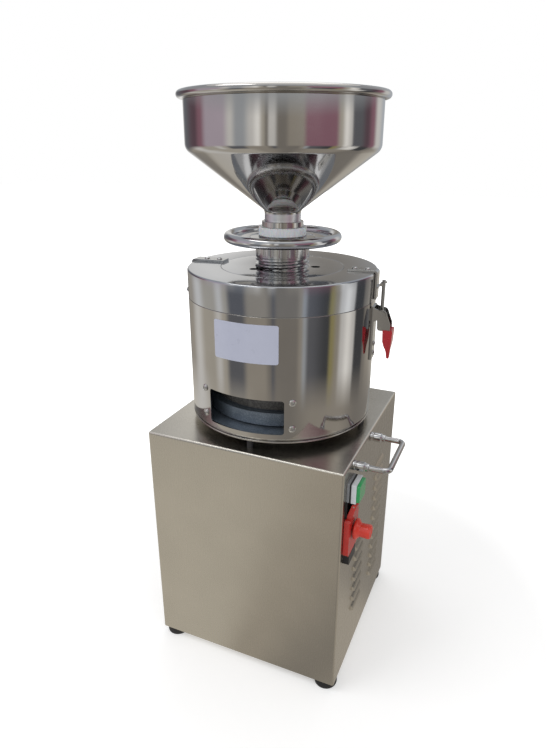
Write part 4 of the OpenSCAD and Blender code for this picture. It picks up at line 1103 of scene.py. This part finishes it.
@dataclass(frozen=True)
class Drive(Assembly):
    """Motor, shaft and the turning gear inside."""

    looks = {"cast_housing": {"motor_flange": 0.5, "motor_housing": 0.5, "motor_end_bell": 0.5},
             "dark_steel": {"fan_cowl": 0.0, "rotor_core": 0.0},
             "copper_winding": {"stator_core": 0.0}, "black_plastic": {"cooling_fan": 0.0},
             "turned_steel": {"motor_bearings": 0.0, "rotor_shaft": 0.0, "feed_cone": 0.0},
             "cast_aluminium": {"slinger_disc": 0.0}, "grinding_stone": {"lower_stone": 0.0}}


@dataclass(frozen=True)
class Drum(Assembly):
    """Polished drum with its outlet, fittings and the floor inside."""

    looks = {"black_rubber": {"drum_spacers": 0.0}, "cast_aluminium": {"chamber_floor": 0.0},
             "seal_rubber": {"shaft_seal": 0.0, "lid_seal": 0.0},
             "plate_blue": {"label_plate": 0.0}, "strap_steel": {"drum_hinge_leaf": 0.3},
             "turned_steel": {"hinge_pin": 0.0}}
    radius: float = 136.0  # outer radius
    wall: float = 2.0  # wall thickness
    bore: float = 15.0  # radius of the shaft's hole
    low: float = 396.0  # level of the drum's underside
    high: float = 570.0  # level of the drum's rim
    plate_low: float = 393.0  # level of the base plate's underside
    plate_edge: float = 395.3  # level of the base plate's edge
    plate_step: float = 3.0  # width of the step round the base plate
    outlet: Point = (112.0, 50.0)  # width and height of the outlet
    outlet_low: float = 406.0  # level of the outlet's lower edge
    cut_reach: Point = (106.0, 166.0)  # distances from the axis between which the outlet is cut
    screw_turn: float = 29.0  # angle of the outlet's screws from the front
    screw_levels: Point = (415.3, 453.6)  # levels of the outlet's screws
    slots: Point = (25.0, 42.0)  # turns of the screws' recesses

    def shell(self) -> None:
        """Roll the drum and cut its outlet."""
        r, t, bore = self.radius, self.wall, self.bore
        outline = rounded([(bore, self.low, 0.0), (r, self.low, 4.0), (r, self.high, 0.5),
                           (r - t, self.high, 0.5), (r - t, self.low + t, 2.0),
                           (bore, self.low + t, 0.0)], 8)
        half, h = self.outlet[0] / 2, self.outlet[1]
        hole = rounded([(-half, 0.0, 4.0), (half, 0.0, 4.0), (half, h, 4.0), (-half, h, 4.0)], 6)
        near, far = self.cut_reach
        cutter = extrude("outlet_form", hole, 0.0, far - near)
        cutter.transform(shifted(0.0, -near * MM, self.outlet_low * MM) @ turned(90.0, "X"))
        shell = cut(revolve("drum_wall", outline, 256), [cutter])
        self.shop.add(shell, "frame", "polished_sheet", "drum_shell")

    def build(self) -> None:
        """Dress and build the drum, its base plate and the screws beside its outlet."""
        self.shell()
        places = [turned(side * self.screw_turn - 90.0) @ shifted(self.radius, 0.0, level)
                  @ turned(90.0, "Y") @ turned(slot)
                  for side in (-1, 1) for level, slot in zip(self.screw_levels, self.slots)]
        screw = PanHead(radius=5.0, height=3.0, shank=2.5, length=2.0)
        self.fit("outlet_pan_screws", screw, places, "frame", "outlet_screws")
        r, inner, edge = self.radius, self.radius - self.plate_step, self.plate_edge
        base = rounded([(self.bore, self.plate_low, 0.0), (r, self.plate_low, 0.5), (r, edge, 0.6),
                        (inner, edge, 0.2), (inner, self.low, 0.0), (self.bore, self.low, 0.0)])
        plate = revolve("drum_foot_plate", base, 256)
        self.shop.add(plate, "frame", "polished_sheet", "drum_base_plate")
        self.dress()


@dataclass(frozen=True)
class Latch(Assembly):
    """Toggle latch on the drum's right side."""

    looks = {"strap_steel": {"latch_base": 0.3, "latch_lever": 0.3, "latch_hook": 0.3},
             "red_grip": {"latch_grip": 0.9}, "turned_steel": {"hook_pivot": 0.2},
             "screw_steel": {"hook_nut": 0.3}}
    turn: float = 5.0  # angle of the latch from +X, in degrees
    face: float = 138.3  # distance of the base's face from the axis
    levels: Point = (493.0, 507.0)  # levels of the base's screws
    slot: float = 30.0  # turn of the screws' recesses

    def build(self) -> None:
        """Dress the latch and fit its screws."""
        self.dress()
        places = [turned(self.turn) @ shifted(self.face, 0.0, level) @ turned(90.0, "Y")
                  @ turned(self.slot) for level in self.levels]
        self.fit("latch_pan_screws", PanHead(length=1.7), places, "frame", "latch_screws")


@dataclass(frozen=True)
class Lid(Assembly):
    """Hinged lid with its centre plate and straps."""

    looks = {"strap_steel": {"lid_hinge_strap": 0.4, "keeper_strap": 0.4}}
    radius: float = 136.0  # outer radius
    low: float = 570.3  # level of the skirt's edge
    top: float = 610.0  # level of the lid's top
    sheet: float = 3.0  # thickness of the lid's top
    skirt: float = 2.0  # thickness of its skirt
    rib: Point = (129.4, 131.4)  # inner and outer radius of the rib that enters the drum
    rib_low: float = 561.0  # level of the rib's edge
    plate: float = 88.0  # radius of the centre plate
    plate_gap: float = 0.35  # gap between plate and shell
    plate_foot: float = 98.0  # radius of the plate's lower part
    plate_deep: float = 18.0  # height of the plate
    bore: float = 38.55  # radius of the sleeve's bore
    guide_turns: Place = (10.0, 124.0, 238.0)  # angles of the guide holes
    guide_ring: float = 48.5  # radius of the ring that the guide holes lie on
    guide_hole: float = 6.5  # radius of a guide hole
    strap_turn: float = 5.0  # angle of the keeper strap, with the hinge strap opposite
    strap: float = 3.0  # thickness of the straps
    keeper_screws: Point = (105.0, 123.0)  # distances of the keeper strap's screws from the axis
    hinge_screws: Point = (98.0, 118.0)  # distances of the hinge strap's screws from the axis

    def shell(self) -> None:
        """Spin the lid's shell."""
        r, inner = self.radius, self.radius - self.skirt
        top, under = self.top, self.top - self.sheet
        hole, (rib_in, rib_out) = self.plate + self.plate_gap, self.rib
        outline = rounded([(hole, under, 0.0), (hole, top, 0.5), (r, top, 2.6), (r, self.low, 0.5),
                           (inner, self.low, 0.5), (inner, under, 1.0), (rib_out, under, 0.3),
                           (rib_out, self.rib_low, 0.4), (rib_in, self.rib_low, 0.4),
                           (rib_in, under, 0.3)], 7)
        self.shop.add(revolve("lid_spun", outline, 256), "lid", "satin_lid", "lid_shell")

    def centre(self) -> None:
        """Turn the centre plate and drill it."""
        top, under, foot = self.top, self.top - self.sheet, self.top - self.plate_deep
        outline = rounded([(self.bore, foot, 0.3), (self.plate_foot, foot, 0.6),
                           (self.plate_foot, under, 0.4), (self.plate, under, 0.2),
                           (self.plate, top, 0.5), (self.bore, top, 0.8)], 5)
        ring = arc((0.0, 0.0), self.guide_hole, 0.0, 360.0, 49)[:-1]
        holes = []
        for turn in self.guide_turns:
            hole = extrude("guide_form", ring, foot - PAST, top + PAST)
            hole.transform(turned(turn) @ shifted(self.guide_ring * MM, 0.0, 0.0))
            holes.append(hole)
        plate = cut(revolve("lid_centre", outline, 256), holes)
        self.shop.add(plate, "lid", "satin_lid", "lid_plate")

    def build(self) -> None:
        """Dress and build the lid and fit the screws of its straps."""
        self.shell()
        self.centre()
        self.dress()
        places = [turned(turn) @ shifted(x, 0.0, self.top + self.strap) @ turned(slot)
                  for turn, spots, slot in ((self.strap_turn, self.keeper_screws, 20.0),
                                            (self.strap_turn + 180.0, self.hinge_screws, 35.0))
                  for x in spots]
        self.fit("strap_screws", PanHead(), places, "lid", "lid_screws")


@dataclass(frozen=True)
class Adjuster(Assembly):
    """Threaded sleeve, collar, hand wheel and what hangs on them."""

    looks = {"turned_steel": {"knurled_collar": 0.4, "guide_pins": 0.4},
             "cast_aluminium": {"stone_carrier": 0.4}, "grinding_stone": {"upper_stone": 0.0},
             "bronze_ring": {"thrust_ring": 0.0}, "white_nylon": {"nylon_nut": 0.3}}
    sleeve: float = 38.5  # outer radius of the sleeve
    bore: float = 27.0  # radius of the sleeve's bore
    foot: float = 509.9  # level of the sleeve's lower end
    groove: Point = (542.7, 547.7)  # lowest and highest level of the groove for the split ring
    groove_radius: float = 35.0  # radius of the groove's floor
    pitch: float = 8.0  # rise of the thread in one turn
    depth: float = 3.6  # depth of the thread
    # where the thread's flank starts and ends, in turns from the root's middle
    flank: Point = (0.28 / 2.4, 0.9 / 2.4)
    thread: Point = (551.0, 624.0)  # lowest and highest level of the thread
    run_out: Point = (3.0, 1.5)  # lengths over which the thread ends below and above
    shoulder: float = 624.9  # level of the sleeve's shoulder
    neck: Point = (34.0, 31.05)  # outer and inner radius of the sleeve above the shoulder
    seat: float = 622.0  # level of the nylon nut's seat
    top: float = 654.0  # level of the sleeve's upper end
    hub: Point = (34.1, 46.0)  # bore and outer radius of the wheel's hub
    hub_low: float = 640.0  # level of the hub's underside
    dish: float = 58.0  # radius at which the wheel's underside meets the rim
    rim: float = 76.3  # radius of the wheel's rim circle
    tube: float = 7.0  # radius of the rim's tube
    rim_level: float = 651.5  # level of the rim
    drop: float = 4.0  # how far the wheel's underside lies below the rim's level

    def cut_depth(self, x: float, y: float, z: float) -> float:
        """Return how deep the thread is at a point of the sleeve.

        Args:
            x: the point's place in X.
            y: the point's place in Y.
            z: the point's level.

        Returns:
            The depth below the sleeve's outside.
        """
        low, high = self.thread
        start, end = self.flank
        phase = (z / self.pitch - math.atan2(y, x) / (2.0 * math.pi)) % 1.0
        rise = min(1.0, max(0.0, abs(phase - 0.5) - start) / (end - start))
        ends = min(1.0, (z - low) / self.run_out[0], (high - z) / self.run_out[1])
        return self.depth * (1.0 - rise) * max(0.0, ends)

    def threaded(self) -> None:
        """Cut the coarse thread on the sleeve."""
        low, high = self.thread
        r, (neck, throat) = self.sleeve, self.neck
        outline = [(self.bore, self.foot), (r, self.foot), (r, self.groove[0])]
        outline += [(self.groove_radius, level) for level in self.groove]
        outline += [(r, self.groove[1])] + [(r, z) for z in np.arange(low, high + 0.01, 0.5)]
        outline += [(r, self.shoulder), (neck, self.shoulder), (neck, self.top),
                    (throat, self.top), (throat, self.seat), (self.bore, self.seat)]
        mesh = revolve("sleeve_thread", outline, 192, 30.0)
        for vertex in mesh.vertices:
            x, y, z = (part / MM for part in vertex.co)
            radius = math.hypot(x, y)
            if radius > r - 0.2 and low <= z <= high:
                share = (radius - self.cut_depth(x, y, z)) / radius
                vertex.co.x *= share
                vertex.co.y *= share
        self.shop.add(smooth(mesh, 50.0), "adjuster", "turned_steel", "adjusting_sleeve")

    def wheel(self) -> None:
        """Turn the chrome hand wheel."""
        level, top, under = self.rim_level, self.rim_level - 0.5, self.rim_level - self.drop
        bore, hub = self.hub
        outline = rounded([(bore, self.hub_low, 0.0), (hub - 1.5, self.hub_low, 1.0),
                           (hub, self.hub_low + 3.0, 1.5), (hub, under, 1.2),
                           (self.dish, under, 0.0)], 4)[:-1]
        start = 180.0 + math.degrees(math.asin(self.drop / self.tube))
        outline += arc((self.rim, level), self.tube, start, 540.0, 44)
        outline += [(hub + 0.6, level), (hub + 0.1, level - 0.15), (hub - 0.1, top), (bore, top)]
        self.shop.add(revolve("chrome_wheel", outline, 224), "adjuster", "chrome_plate",
                      "hand_wheel")

    def build(self) -> None:
        """Dress and build the adjuster."""
        self.threaded()
        self.wheel()
        self.dress()


@dataclass(frozen=True)
class Hopper(Assembly):
    """Spun steel hopper with a rolled rim."""

    neck: float = 25.6  # outer radius of the neck
    radius: float = 131.0  # outer radius of the straight wall
    wall: float = 1.5  # wall thickness
    low: float = 630.0  # level of the neck's end
    cone_low: float = 687.0  # level of the cone's lower end
    wall_low: float = 773.0  # level where the straight wall starts
    top: float = 836.0  # level of the rim's top
    throat: float = 7.0  # outer radius of the bend between neck and cone
    bend: float = 14.0  # radius of the bend between cone and wall
    curl: float = 4.8  # radius of the rim's curl
    curl_out: float = 3.6  # how far the curl's middle stands out from the wall
    rim_gap: float = 0.02  # how far the curl stays below the top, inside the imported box
    bead: float = 29.4  # radius of the bead on the neck
    bead_levels: Point = (665.05, 673.0)  # lowest and highest level of the bead
    rings: int = 6  # how many fine steps the neck has above the bead
    ring_low: float = 674.4  # level of the first step
    ring_pitch: float = 1.3  # distance between two steps
    ring_depth: float = 0.25  # depth of a step
    brushed: Point = (673.1, 682.5)  # levels between which the neck is left brushed

    def side(self, inwards: float) -> list[Point]:
        """Draw the wall's line from the neck up.

        Args:
            inwards: how far the line lies inside the hopper's outer face.

        Returns:
            The line's points.
        """
        centre = self.radius - self.bend
        run, rise = centre - self.neck, self.wall_low - self.cone_low
        slope = math.atan2(rise, run) - math.asin(self.bend / math.hypot(run, rise))
        lean = 90.0 - math.degrees(slope)
        neck, throat = self.neck - inwards, self.throat + inwards
        base = self.cone_low - throat * math.tan(math.radians(lean / 2))
        line = [(neck, self.low), *arc((neck + throat, base), throat, 180.0, 180.0 - lean, 9)]
        return line + arc((centre, self.wall_low), self.bend - inwards, -lean, 0.0, 15)

    def build(self) -> None:
        """Spin the hopper."""
        outer, inner = self.side(0.0), self.side(self.wall)
        level = self.top - self.curl - self.rim_gap
        curl = arc((self.radius + self.curl_out, level), self.curl, 215.0, 530.0, 36)
        low, high = self.bead_levels
        bead = [(self.neck, low), (self.bead - 0.4, low), (self.bead, low + 0.45),
                (self.bead, high - 0.6), (self.bead - 0.5, high), (self.neck, high)]
        bead += [(self.neck - self.ring_depth * (index % 2),
                  self.ring_low + self.ring_pitch * index) for index in range(self.rings)]
        outline = [outer[0], *bead, *outer[1:], (self.radius, level - 4.0), *curl, *inner[::-1]]
        spun = revolve("hopper_spun", outline, 256)
        item = self.shop.add(spun, "hopper", "polished_sheet", "hopper")
        self.shop.add_part(item, "neck_steel", *self.brushed)


# ---------------------------------------------------------------- assembly


def check_dressed(shop: Workshop) -> None:
    """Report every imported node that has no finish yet.

    Args:
        shop: the workshop after all classes were built.
    """
    for name in sorted(set(shop.nodes) - shop.dressed):
        log.warning("not dressed: %s", name)


def main() -> None:
    """Load the frame and build each sub-assembly around it."""
    logging.basicConfig(level=logging.INFO, format="%(name)s: %(message)s")
    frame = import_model()
    Studio().build()
    shop = Workshop(dict(frame["nodes"]))
    for kind in (Cabinet, SideHandle, Switch, Drive, Drum, Latch, Lid, Adjuster, Hopper):
        kind(shop).build()
        log.info("built %s", kind.__name__)
    check_dressed(shop)


if __name__ == "__main__":
    main()
